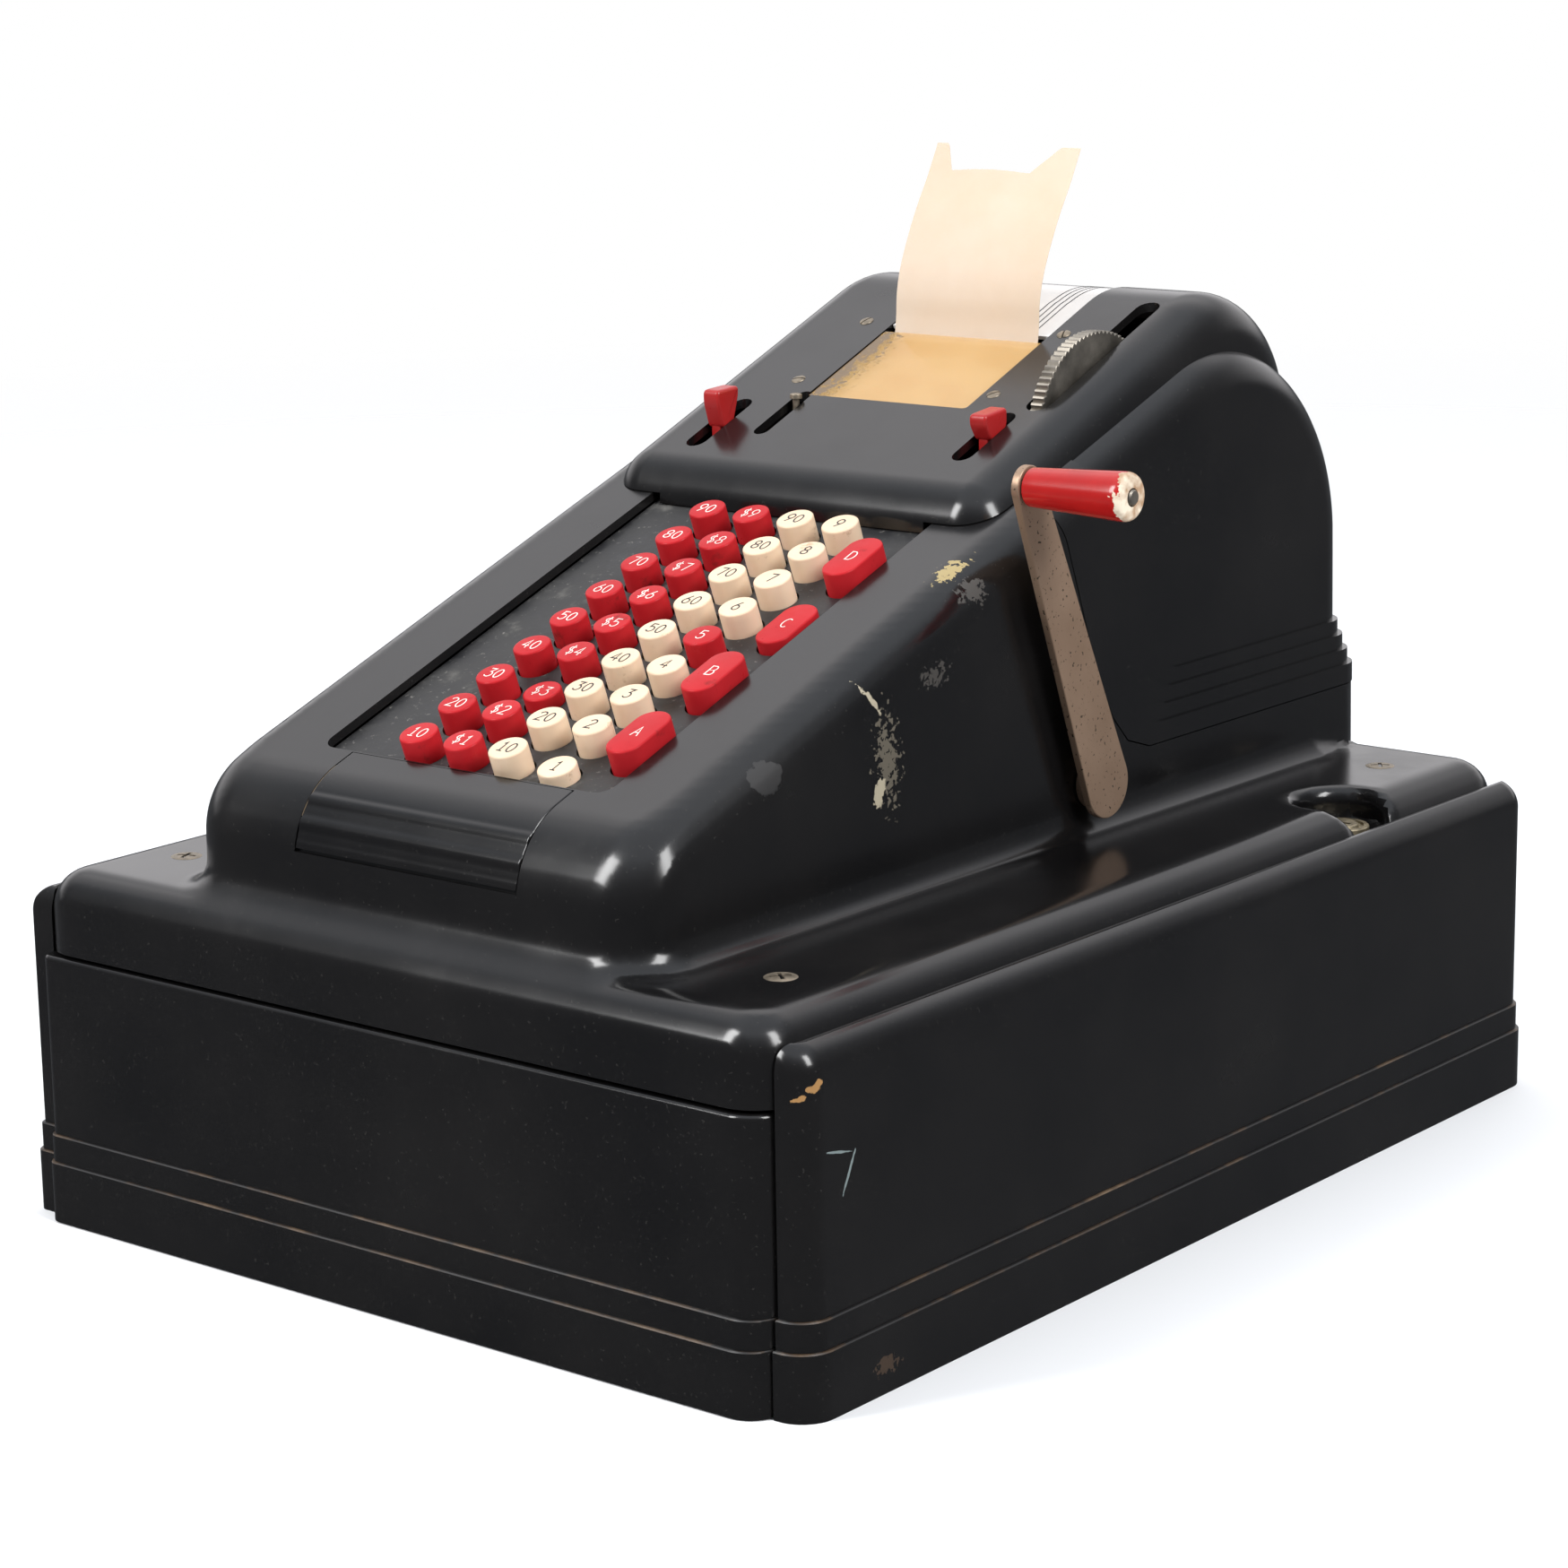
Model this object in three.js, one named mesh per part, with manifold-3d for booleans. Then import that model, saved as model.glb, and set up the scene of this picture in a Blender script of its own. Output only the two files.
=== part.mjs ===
// Crank-operated adding machine on a cash drawer base.
// Millimetres, +Z up, +X to the operator's right, -Y towards the operator.
// The origin is on the floor, in the middle of the base.
import * as THREE from "three";
import { mergeVertices } from "three/addons/utils/BufferGeometryUtils.js";
import Module from "manifold-3d";

// ---- driving dimensions ----
const BASE_WIDTH = 333;
const BASE_DEPTH = 430;
const FRONT = -BASE_DEPTH / 2;
const PANEL_TOP = 113; // top of the two side panels
const PLINTH_STEPS = [21.2, 30.5]; // heights of the two ledges round the foot
const PLINTH_PROUD = 1.1; // each ledge stands out this far
const PANEL_SET_BACK = 7; // the panels start this far behind the foot of the drawer front
const PANEL_CORNER = 11.5;
const PANEL_GAP = 0.8; // between the panels and what they enclose
const COVER_HALF = 155.5;
const COVER_CORNER = 16;
const FRONT_HALF = 153;
const FRONT_CORNER_RIGHT = 11;
const FRONT_CORNER_LEFT = 4.5;
const COVER_TOP = 120.2;
const COVER_BOTTOM = 93.2;
const COVER_ROUND = 13;
const DRAWER_TOP = 92;
const HOUSING_HALF = 97.5; // half width of the keyboard housing
const HOUSING_ROUND = 15;
const NOSE = 17; // housing front, behind the base front
const NOSE_ROUND = 30;
const REAR = 421;
const REAR_ROUND = 74;
const WALL = 3;
const SLOPE = THREE.MathUtils.degToRad(20); // keyboard slope
const BEZEL_Y = 53.5; // a point on the bezel plane, from the base front
const BEZEL_Z = 169.5;
const HOOD_SLOPE = THREE.MathUtils.degToRad(22);
const HOOD_Y = 260; // a point on the top of the hood
const HOOD_Z = 256;
const HOOD_FRONT = 209.5;
const HOOD_HALF = 84;
const HOOD_ROUND = 16;
const HOOD_STEPS = 4; // ribs that frame the side of the hood
const HOOD_STEP = 1.3;
const PITCH = 19.05; // key spacing, both ways
const KEY_X = -23.6; // first column
const KEY_Y = 51.8; // top of the first key, from the base front
const KEY_Z = 174.1;
const KEY_RADIUS = 6.4;
const KEY_RISE = 4.9; // key tops above the bezel plane
const KEY_LATCH = 4; // a key that is down sits this much lower
const CAP_HEIGHT = 13;
const PLATE_DROP = 3.6; // key plate below the bezel plane
const PLATE_THICK = 1.6;
const PIVOT_Y = 246.5; // crank shaft
const PIVOT_Z = 137.5;
const GRIP_Y = 202; // crank grip axis
const GRIP_Z = 243.5;
const ARM_X = 103;
const ARM_THICK = 3;
const WHEEL_Y = 299.5; // paper feed shaft
const WHEEL_Z = 246.2;
const WHEEL_RADIUS = 35;
const PLATEN_RADIUS = 18;
const WINDOW_LEFT = -33;
const WINDOW_RIGHT = 36;
const LOCK_X = 141;
const LOCK_Y = 337;
const GAP = 0.35;

// ---- solids: closed meshes in, joined or cut meshes out ----
const wasm = await Module();
wasm.setup();

function solid(geometry) {
  const flat = geometry.index ? geometry.toNonIndexed() : geometry.clone();
  flat.deleteAttribute("normal");
  flat.deleteAttribute("uv");
  const merged = mergeVertices(flat, 1e-4);
  return new wasm.Manifold(
    new wasm.Mesh({
      numProp: 3,
      vertProperties: new Float32Array(merged.attributes.position.array),
      triVerts: new Uint32Array(merged.index.array),
    }),
  );
}

function join(pieces) {
  return pieces.reduce((sum, piece) => sum.add(piece));
}

function cut(body, pieces) {
  return pieces.reduce((rest, piece) => rest.subtract(piece), body);
}

function geometryOf(body) {
  const mesh = body.getMesh();
  const geometry = new THREE.BufferGeometry();
  geometry.setAttribute("position", new THREE.BufferAttribute(mesh.vertProperties, 3));
  geometry.setIndex(new THREE.BufferAttribute(mesh.triVerts, 1));
  const faceted = geometry.toNonIndexed();
  faceted.computeVertexNormals();
  return faceted;
}

// ---- shapes; y is measured from the base front, z from the floor ----
function shapeOf(points) {
  return new THREE.Shape(points.map(([a, b]) => new THREE.Vector2(a, b)));
}

// An axis-aligned block between two corners.
function block(x0, x1, y0, y1, z0, z1) {
  const geometry = new THREE.BoxGeometry(x1 - x0, y1 - y0, z1 - z0);
  geometry.translate((x0 + x1) / 2, (y0 + y1) / 2 + FRONT, (z0 + z1) / 2);
  return solid(geometry);
}

// A plan outline (x, y) extruded upwards, with its edges rounded; inset shrinks it evenly.
function standing(points, z0, z1, round = 0, inset = 0) {
  const geometry = new THREE.ExtrudeGeometry(shapeOf(points), {
    depth: z1 - z0 - 2 * round,
    bevelEnabled: round > 0,
    bevelThickness: round - inset,
    bevelSize: round - inset,
    bevelOffset: -round,
    bevelSegments: 4,
    curveSegments: 6,
  });
  geometry.translate(0, FRONT, z0 + round);
  return solid(geometry);
}

// A side outline (y, z) extruded along X between two values, with its edges rounded.
function sideways(points, x0, x1, round = 0, inset = 0) {
  const geometry = new THREE.ExtrudeGeometry(shapeOf(points), {
    depth: x1 - x0 - 2 * round,
    bevelEnabled: round > 0,
    bevelThickness: round - inset,
    bevelSize: round - inset,
    bevelOffset: -round,
    bevelSegments: 4,
  });
  geometry.applyMatrix4(
    new THREE.Matrix4().makeBasis(
      new THREE.Vector3(0, 1, 0),
      new THREE.Vector3(0, 0, 1),
      new THREE.Vector3(1, 0, 0),
    ),
  );
  geometry.translate(x0 + round, FRONT, 0);
  return solid(geometry);
}

// A cylinder along X, or along Z.
function barX(x0, x1, y, z, radius, sides = 16) {
  const geometry = new THREE.CylinderGeometry(radius, radius, x1 - x0, sides);
  geometry.rotateZ(-Math.PI / 2);
  geometry.translate((x0 + x1) / 2, y + FRONT, z);
  return solid(geometry);
}

function barZ(x, y, z0, z1, radius, sides = 20) {
  const geometry = new THREE.CylinderGeometry(radius, radius, z1 - z0, sides);
  geometry.rotateX(Math.PI / 2);
  geometry.translate(x, y + FRONT, (z0 + z1) / 2);
  return solid(geometry);
}

function arc(cy, cz, radius, from, to, steps) {
  const points = [];
  for (let i = 0; i <= steps; i++) {
    const a = THREE.MathUtils.degToRad(from + ((to - from) * i) / steps);
    points.push([cy + radius * Math.cos(a), cz + radius * Math.sin(a)]);
  }
  return points;
}

function roundedRect(halfWidth, y0, y1, right, left = right) {
  return [
    ...arc(halfWidth - right, y0 + right, right, -90, 0, 5),
    ...arc(halfWidth - right, y1 - right, right, 0, 90, 5),
    ...arc(-halfWidth + left, y1 - left, left, 90, 180, 5),
    ...arc(-halfWidth + left, y0 + left, left, 180, 270, 5),
  ];
}

const bezelZ = (y) => BEZEL_Z + (y - BEZEL_Y) * Math.tan(SLOPE);
const hoodZ = (y) => HOOD_Z + (y - HOOD_Y) * Math.tan(HOOD_SLOPE);

// ---- drawer front and side panels: a foot with two ledges, then a plain wall ----
const FRONT_THICK = 12;
const frontOutline = (y0, grow = 0) =>
  roundedRect(FRONT_HALF + grow, y0 - grow, 600, FRONT_CORNER_RIGHT + grow, FRONT_CORNER_LEFT + grow);
const drawerFront = join(
  [...PLINTH_STEPS, DRAWER_TOP].map((top, i) =>
    standing(frontOutline(i * PLINTH_PROUD), 0.6, top),
  ),
).intersect(block(-200, 200, -10, FRONT_THICK, 0, 200));

// The panels stand behind the drawer front and follow its corners and the cover's.
const panelBlock = join(
  [...PLINTH_STEPS, PANEL_TOP].map((top, i) => {
    const inset = i * PLINTH_PROUD;
    const outline = roundedRect(
      BASE_WIDTH / 2 - inset,
      PANEL_SET_BACK + inset,
      BASE_DEPTH - inset,
      PANEL_CORNER,
    );
    const round = top === PANEL_TOP ? 9.5 : 0;
    return standing(outline, round ? -30 : 0, top, round);
  }),
);
const COVER_FRONT = 3.2; // the cover's front stands behind the face of the drawer
const coverOpening = roundedRect(
  COVER_HALF + PANEL_GAP,
  COVER_FRONT - PANEL_GAP,
  600,
  COVER_CORNER + PANEL_GAP,
);
const panels = panelBlock.subtract(
  join([standing(frontOutline(0, PANEL_GAP), -10, 200), standing(coverOpening, -10, 200)]),
);
const panelRight = panels.intersect(block(0, 200, -10, 500, 0, 200));
const panelLeft = panels.intersect(block(-200, 0, -10, 500, 0, 200));

// ---- cabinet: floor, inner walls and rear wall under the cover ----
const cabinet = join([
  block(-154.5, 154.5, 16, 424, 2, 4),
  block(-154.5, -152.5, 16, 424, 2, 92),
  block(152.5, 154.5, 16, 424, 2, 92),
  ...[...PLINTH_STEPS, DRAWER_TOP].map((top, i) =>
    block(-COVER_HALF, COVER_HALF, 422, BASE_DEPTH - i * PLINTH_PROUD, 0, top),
  ),
]);

// ---- cash drawer: tray with four coin cups and four note bays ----
const DRAWER_HALF = 150;
const DRAWER_REAR = 400;
const trayWalls = [
  block(-DRAWER_HALF, DRAWER_HALF, 12.4, DRAWER_REAR, 6, 8.5),
  block(-DRAWER_HALF, DRAWER_HALF, 12.4, 14.4, 6, 82),
  block(-DRAWER_HALF, DRAWER_HALF, DRAWER_REAR - 2, DRAWER_REAR, 6, 76),
  block(-DRAWER_HALF, -DRAWER_HALF + 2, 12.4, DRAWER_REAR, 6, 76),
  block(DRAWER_HALF - 2, DRAWER_HALF, 12.4, DRAWER_REAR, 6, 76),
  block(-DRAWER_HALF, DRAWER_HALF, 118, 120, 6, 60),
  block(-DRAWER_HALF, DRAWER_HALF, 300, 302, 6, 60),
];
for (const x of [-90, -30, 30, 90]) {
  trayWalls.push(block(x - 1, x + 1, 12.4, 120, 6, 52));
}
for (const x of [-75, 0, 75]) {
  trayWalls.push(block(x - 1, x + 1, 118, 302, 6, 52));
}
const cashDrawer = join(trayWalls);

// ---- housing and hood share one side outline: nose, keyboard slope, round rear ----
const noseTangent = NOSE_ROUND * Math.tan(THREE.MathUtils.degToRad(35));
const noseCentreZ = bezelZ(NOSE) - noseTangent;
const rearCentreZ = bezelZ(REAR) - REAR_ROUND * Math.tan(THREE.MathUtils.degToRad(55));
const bodyOutline = [
  [NOSE, 70],
  ...arc(NOSE + NOSE_ROUND, noseCentreZ, NOSE_ROUND, 180, 110, 6),
  ...arc(REAR - REAR_ROUND, rearCentreZ, REAR_ROUND, 110, 0, 10),
  [REAR, 70],
];
const rearSet = (proud) => bodyOutline.map(([y, z]) => [y > 300 && z < 200 ? y + proud : y, z]);

// The joint line between the hood and the housing, seen from the side.
const SEAM = [
  [231, 232], [236, 219], [241, 205], [247, 188], [254, 170], [261, 157], [270, 147.5], [283, 143.3],
];
function aboveSeam(shift) {
  const line = SEAM.map(([y, z]) => [y + shift, z + shift]);
  return [
    [line[0][0] - 4, 330],
    [line[0][0] - 4, bezelZ(line[0][0] - 4)],
    ...line,
    [500, line[line.length - 1][1]],
    [500, 330],
  ];
}

// Hood slab: flat top, rounded front and rear.
const slabFrontZ = hoodZ(HOOD_FRONT) - 17 * Math.tan(THREE.MathUtils.degToRad(34));
const slabOutline = [
  [HOOD_FRONT, 150],
  ...arc(HOOD_FRONT + 17, slabFrontZ, 17, 180, 112, 5),
  ...arc(353.2, 241.6, 48, 112, 0, 8),
  [401.2, 150],
];
const aboveBezel = (lift) => [
  [150, bezelZ(150) + lift],
  [240, bezelZ(240) + lift],
  [240, 400],
  [150, 400],
];

// The side of the hood steps inwards, one rib after the other, behind the joint line.
function ribBody(i) {
  const half = HOUSING_HALF - i * HOOD_STEP;
  return sideways(rearSet((HOOD_STEPS - i) * HOOD_STEP), -half, half, HOUSING_ROUND);
}
let ribbedShell = ribBody(0).intersect(sideways(aboveSeam(0), -200, 200));
for (let i = 1; i <= HOOD_STEPS; i++) {
  const behindRib = sideways(aboveSeam(1.7 + i * 5.3), -200, 200);
  ribbedShell = ribbedShell.subtract(behindRib.subtract(ribBody(i)));
}
const innerHalf = HOUSING_HALF - HOOD_STEPS * HOOD_STEP;
const bodyInside = sideways(bodyOutline, -innerHalf, innerHalf, HOUSING_ROUND, WALL);
const slab = sideways(slabOutline, -HOOD_HALF, HOOD_HALF, HOOD_ROUND);
const slabInside = sideways(slabOutline, -HOOD_HALF, HOOD_HALF, HOOD_ROUND, WALL);
const slabFront = slab.intersect(sideways(aboveBezel(GAP), -200, 200));
const slabRear = slab.intersect(sideways(aboveSeam(0), -200, 200));
const skirt = block(-57, 57, HOOD_FRONT, HOOD_FRONT + WALL, 200, 260)
  .intersect(sideways(aboveBezel(-PLATE_DROP + GAP), -200, 200))
  .intersect(slab);

// Slots in the hood top: x, first y, last y, width.
const SLOTS = [
  [-55, 224, 256, 8],
  [-34, 235, 264, 6],
  [55, 231, 262, 8],
  [62, 264.3, 338, 9],
];
const slotCuts = SLOTS.map(([x, y0, y1, width]) => block(x - width / 2, x + width / 2, y0, y1, 225, 300));
const windowCut = block(WINDOW_LEFT, WINDOW_RIGHT, 262, 383, 232, 300);
const hood = cut(join([ribbedShell, slabFront, slabRear]), [
  bodyInside,
  slabInside,
  windowCut,
  ...slotCuts,
]).add(skirt);

// ---- cover and keyboard housing, one moulding ----
const coverOutline = roundedRect(COVER_HALF, COVER_FRONT, BASE_DEPTH - COVER_FRONT, COVER_CORNER);
const cover = standing(coverOutline, 40, COVER_TOP, COVER_ROUND);
const coverInside = standing(coverOutline, 40, COVER_TOP, COVER_ROUND, 4);
const housingBody = sideways(rearSet(HOOD_STEPS * HOOD_STEP), -HOUSING_HALF, HOUSING_HALF, HOUSING_ROUND);
const housingInside = sideways(bodyOutline, -HOUSING_HALF, HOUSING_HALF, HOUSING_ROUND, WALL);
const hoodRoom = sideways(aboveSeam(0).map(([y, z]) => [y - GAP, z - GAP]), -200, 200);
const ON_SLOPE = [Math.cos(SLOPE), Math.sin(SLOPE)];
function onSlope(s, lift) {
  const y = KEY_Y + s * ON_SLOPE[0] - lift * ON_SLOPE[1];
  const z = KEY_Z + s * ON_SLOPE[1] + lift * ON_SLOPE[0];
  return [y, z];
}
const RECESS = [-60.6, 60.4];
const recess = sideways(
  [onSlope(-9, -20), onSlope(178, -20), onSlope(178, 20), onSlope(-9, 20)],
  RECESS[0],
  RECESS[1],
);
// Seat for the nameplate, over the nose.
const plateSeat = sideways(
  [onSlope(-9.5, -6.4), onSlope(-9.5, 10), [4, 175], [4, noseCentreZ + 4], [NOSE + 1.6, noseCentreZ + 4],
    ...arc(NOSE + NOSE_ROUND, noseCentreZ, NOSE_ROUND - 1.5, 172, 112, 5)],
  -46,
  48.5,
);
const lockCup = barZ(LOCK_X, LOCK_Y, 100, COVER_TOP, 20).intersect(cover);
const housing = cut(join([housingBody, cover]).intersect(block(-200, 200, 0, 500, COVER_BOTTOM, 300)), [
  coverInside,
  housingInside,
  hoodRoom,
  recess,
  plateSeat,
  barX(90, 110, PIVOT_Y, PIVOT_Z, 5.8),
])
  .add(lockCup.subtract(barZ(LOCK_X, LOCK_Y, 109, 130, 16)))
  .subtract(barZ(LOCK_X, LOCK_Y, 90, 130, 10.5))
  .subtract(barZ(LOCK_X, LOCK_Y, 109, 130, 16));

// ---- nameplate: follows the nose, with ribs on its lower half ----
const nameplate = sideways(
  [
    onSlope(-9.9, -KEY_RISE - 1.1),
    onSlope(-9.9, -KEY_RISE + 0.2),
    ...arc(NOSE + NOSE_ROUND, noseCentreZ, NOSE_ROUND + 0.3, 110, 170, 8),
    ...arc(NOSE + NOSE_ROUND, noseCentreZ, NOSE_ROUND - 1, 170, 112, 8),
  ],
  -45.6,
  48.1,
);

// ---- key plate and keys ----
const COLUMNS = 4;
const ROWS = 9;
const OVALS = [1, 3, 5, 7];
const OVAL_X = KEY_X + 4 * PITCH;
const OVAL_HALF = 6.35; // half the straight part of an oval key

function stadium(x, s, radius, straight) {
  return [...arc(x, s + straight, radius, 0, 180, 7), ...arc(x, s - straight, radius, 180, 360, 7)];
}

// A slope outline (x, distance up the slope), as thick as asked, its top at a lift.
function onKeyboard(shape, top, thick) {
  const geometry = new THREE.ExtrudeGeometry(shape, { depth: thick, bevelEnabled: false, curveSegments: 6 });
  geometry.translate(0, 0, top - thick);
  geometry.rotateX(SLOPE);
  geometry.translate(0, KEY_Y + FRONT, KEY_Z);
  return geometry;
}

const plateShape = shapeOf([
  [RECESS[0] - 4, -14],
  [RECESS[1] + 4, -14],
  [RECESS[1] + 4, 172],
  [RECESS[0] - 4, 172],
]);
for (let c = 0; c < COLUMNS; c++) {
  for (let r = 0; r < ROWS; r++) {
    plateShape.holes.push(
      new THREE.Path().absarc(KEY_X + c * PITCH, r * PITCH, KEY_RADIUS + 0.7, 0, 2 * Math.PI),
    );
  }
}
for (const r of OVALS) {
  plateShape.holes.push(shapeOf(stadium(OVAL_X, r * PITCH, KEY_RADIUS + 0.7, OVAL_HALF)));
}
const keyPlate = onKeyboard(plateShape, -KEY_RISE - PLATE_DROP, PLATE_THICK);

// A key cap with its stem, axis along the keyboard normal.
function roundKey() {
  const profile = [
    [0, 0],
    [KEY_RADIUS, 0],
    [KEY_RADIUS, -CAP_HEIGHT],
    [1.6, -CAP_HEIGHT],
    [1.6, -26],
    [0, -26],
  ].map(([radius, height]) => new THREE.Vector2(radius, height));
  const geometry = new THREE.LatheGeometry(profile.reverse(), 12);
  return geometry.rotateX(Math.PI / 2);
}

function ovalKey() {
  const cap = new THREE.ExtrudeGeometry(shapeOf(stadium(0, 0, KEY_RADIUS, OVAL_HALF)), {
    depth: CAP_HEIGHT,
    bevelEnabled: false,
  });
  cap.translate(0, 0, -CAP_HEIGHT);
  const stem = new THREE.BoxGeometry(3, 12, 14);
  stem.translate(0, 0, -19.5);
  return geometryOf(solid(cap).add(solid(stem)));
}

// ---- crank ----
const armLength = Math.hypot(GRIP_Y - PIVOT_Y, GRIP_Z - PIVOT_Z);
const armLean = Math.atan2(GRIP_Z - PIVOT_Z, GRIP_Y - PIVOT_Y);
const leanDegrees = THREE.MathUtils.radToDeg(armLean);
const armOutline = [
  ...arc(GRIP_Y, GRIP_Z, 7, leanDegrees - 88, leanDegrees + 88, 8),
  ...arc(PIVOT_Y, PIVOT_Z, 11.5, leanDegrees + 92, leanDegrees + 268, 10),
];
const crankArm = join([
  sideways(armOutline, ARM_X, ARM_X + ARM_THICK),
  barX(62, ARM_X + 1, PIVOT_Y, PIVOT_Z, 5),
  barX(98.2, ARM_X + 1, PIVOT_Y, PIVOT_Z, 8.5),
  barX(ARM_X + 1, 146, GRIP_Y, GRIP_Z, 2.6, 10),
]);
const gripProfile = [
  [3, 0.6],
  [6.4, 0.6],
  [8, 36],
  [7.6, 38.4],
  [6.8, 39.2],
  [3, 39.2],
  [3, 0.6],
].map(([radius, length]) => new THREE.Vector2(radius, length));
const gripGeometry = new THREE.LatheGeometry(gripProfile, 20);
gripGeometry.rotateZ(-Math.PI / 2);

// ---- paper feed: shaft and platen, knurled wheel, paper, window ----
const feedWheel = join([
  barX(59.5, 64.5, WHEEL_Y, WHEEL_Z, WHEEL_RADIUS, 36),
  barX(64, 71.5, WHEEL_Y, WHEEL_Z, 3),
]);
const platen = join([
  barX(-30, 33, WHEEL_Y, WHEEL_Z, PLATEN_RADIUS, 20),
  barX(-71.5, 59.1, WHEEL_Y, WHEEL_Z, 3),
]);

// A sheet that follows a line (y, z), with its thickness below the line.
function sheet(line, thick, x0, x1) {
  const under = line.map(([y, z], i) => {
    const a = line[Math.max(i - 1, 0)];
    const b = line[Math.min(i + 1, line.length - 1)];
    const length = Math.hypot(b[0] - a[0], b[1] - a[1]);
    return [y + ((b[1] - a[1]) / length) * thick, z - ((b[0] - a[0]) / length) * thick];
  });
  return sideways([...line, ...under.reverse()], x0, x1);
}
const paneLine = [
  [262.6, hoodZ(262.6) - 0.6],
  [335, hoodZ(335) - 0.6],
  ...arc(353.2, 241.6, 47.4, 106, 54, 5),
];
const PAPER = [-29.5, 33];
const pane = sheet(paneLine, 1.5, WINDOW_LEFT + GAP, WINDOW_RIGHT - GAP).subtract(
  block(PAPER[0] - 0.8, PAPER[1] + 0.8, 307.2, 311.4, 260, 290),
);
const PAPER_LINE = [
  [263, 252.6], [300, 267.4], [305, 269.6], [308, 272.4], [309.2, 279], [309.7, 288], [311.8, 297],
  [316, 307], [321.5, 317.5], [328, 328], [334.5, 340],
];
const tornAway = sideways([[300, 330.5], [360, 330.5], [360, 360], [300, 360]], PAPER[0] + 8, PAPER[1] - 8);
const paper = sheet(PAPER_LINE, 0.4, PAPER[0], PAPER[1]).subtract(tornAway);

// ---- control levers, sliding pin and drawer lock ----
function lever(x, y, headTop, headHalf) {
  return join([
    sideways([[y - 3, 214], [y + 3, 214], [y + 3, headTop - 5], [y - 3, headTop - 5]], x - 2, x + 2),
    sideways(
      [[y - headHalf, headTop - 9], [y + headHalf, headTop - 9 + headHalf / 2], [y + headHalf, headTop],
        [y - headHalf, headTop - 1.5]],
      x - 3.6,
      x + 3.6,
    ),
    barX(x - 5, x + 5, y, 216, 4, 10),
  ]);
}
const leverLeft = lever(-55, 241, 260.5, 6);
const leverRight = lever(55, 249, 259.8, 6.5);
const slidePin = join([
  barZ(-34, 257, 240, 257.5, 1.2, 10),
  barZ(-34, 257, 255.6, 257.8, 2.2, 12),
]);
const drawerLock = join([
  barZ(LOCK_X, LOCK_Y, 96, 111.6, 10),
  block(LOCK_X - 9, LOCK_X + 2, LOCK_Y - 3, LOCK_Y + 3, 94.6, 96.4),
]).subtract(block(LOCK_X - 4, LOCK_X + 4, LOCK_Y - 0.8, LOCK_Y + 0.8, 107, 120));

// ---- mechanism frame: base plate and two side plates that carry the shafts ----
const sidePlate = [[60, 97], [400, 97], [400, 190], [345, 252], [290, 256], [255, 222], [200, 192], [60, 142]];
const mechanismFrame = cut(
  join([
    block(-73, 73, 60, 400, 97, 100),
    sideways(sidePlate, 70, 73),
    sideways(sidePlate, -73, -70),
    barX(-72, 72, 120, 130, 5, 10),
    barX(-72, 72, 370, 190, 5, 10),
    barX(-72, 72, 200, 160, 5, 10),
  ]),
  [barX(60, 80, PIVOT_Y, PIVOT_Z, 5.4), barX(-80, 80, WHEEL_Y, WHEEL_Z, 3.5)],
);

// ---- the assembly ----
const BLACK = { color: 0x0b0b0d, roughness: 0.22, metalness: 0 };
const STEEL = { color: 0x8c857a, roughness: 0.4, metalness: 0.9 };
const RED = { color: 0xb01218, roughness: 0.35, metalness: 0 };
const CREAM = { color: 0xe8dcbc, roughness: 0.4, metalness: 0 };
const PAPER_LOOK = { color: 0xf0d9b4, roughness: 0.9, metalness: 0, side: THREE.DoubleSide };
const AMBER = { color: 0xd9a648, roughness: 0.15, metalness: 0, transparent: true, opacity: 0.6 };

const machine = new THREE.Group();
machine.name = "adding_machine";

function add(name, shape, look, parent = machine) {
  const geometry = shape.isBufferGeometry ? shape : geometryOf(shape);
  const mesh = new THREE.Mesh(geometry, new THREE.MeshStandardMaterial(look));
  mesh.name = name;
  parent.add(mesh);
  return mesh;
}

add("cabinet", cabinet, BLACK);
add("side_panel_left", panelLeft, BLACK);
add("side_panel_right", panelRight, BLACK);
add("cash_drawer", cashDrawer, { color: 0x3a3a3c, roughness: 0.5, metalness: 0.4 });
add("drawer_front", drawerFront, BLACK);
add("lower_housing", housing, BLACK);
add("upper_hood", hood, BLACK);
add("nameplate", nameplate, BLACK);
add("key_plate", keyPlate, { color: 0x17171a, roughness: 0.6, metalness: 0.2 });
add("mechanism_frame", mechanismFrame, STEEL);
add("crank_arm", crankArm, STEEL);
const grip = add("crank_grip", gripGeometry, RED);
grip.position.set(ARM_X + ARM_THICK, GRIP_Y + FRONT, GRIP_Z);
add("feed_wheel", feedWheel, STEEL);
add("platen", platen, { color: 0x1c1c1c, roughness: 0.7, metalness: 0 });
add("paper_strip", paper, PAPER_LOOK);
add("window_pane", pane, AMBER);
add("lever_left", leverLeft, RED);
add("lever_right", leverRight, RED);
add("slide_pin", slidePin, STEEL);
add("drawer_lock", drawerLock, STEEL);

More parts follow.
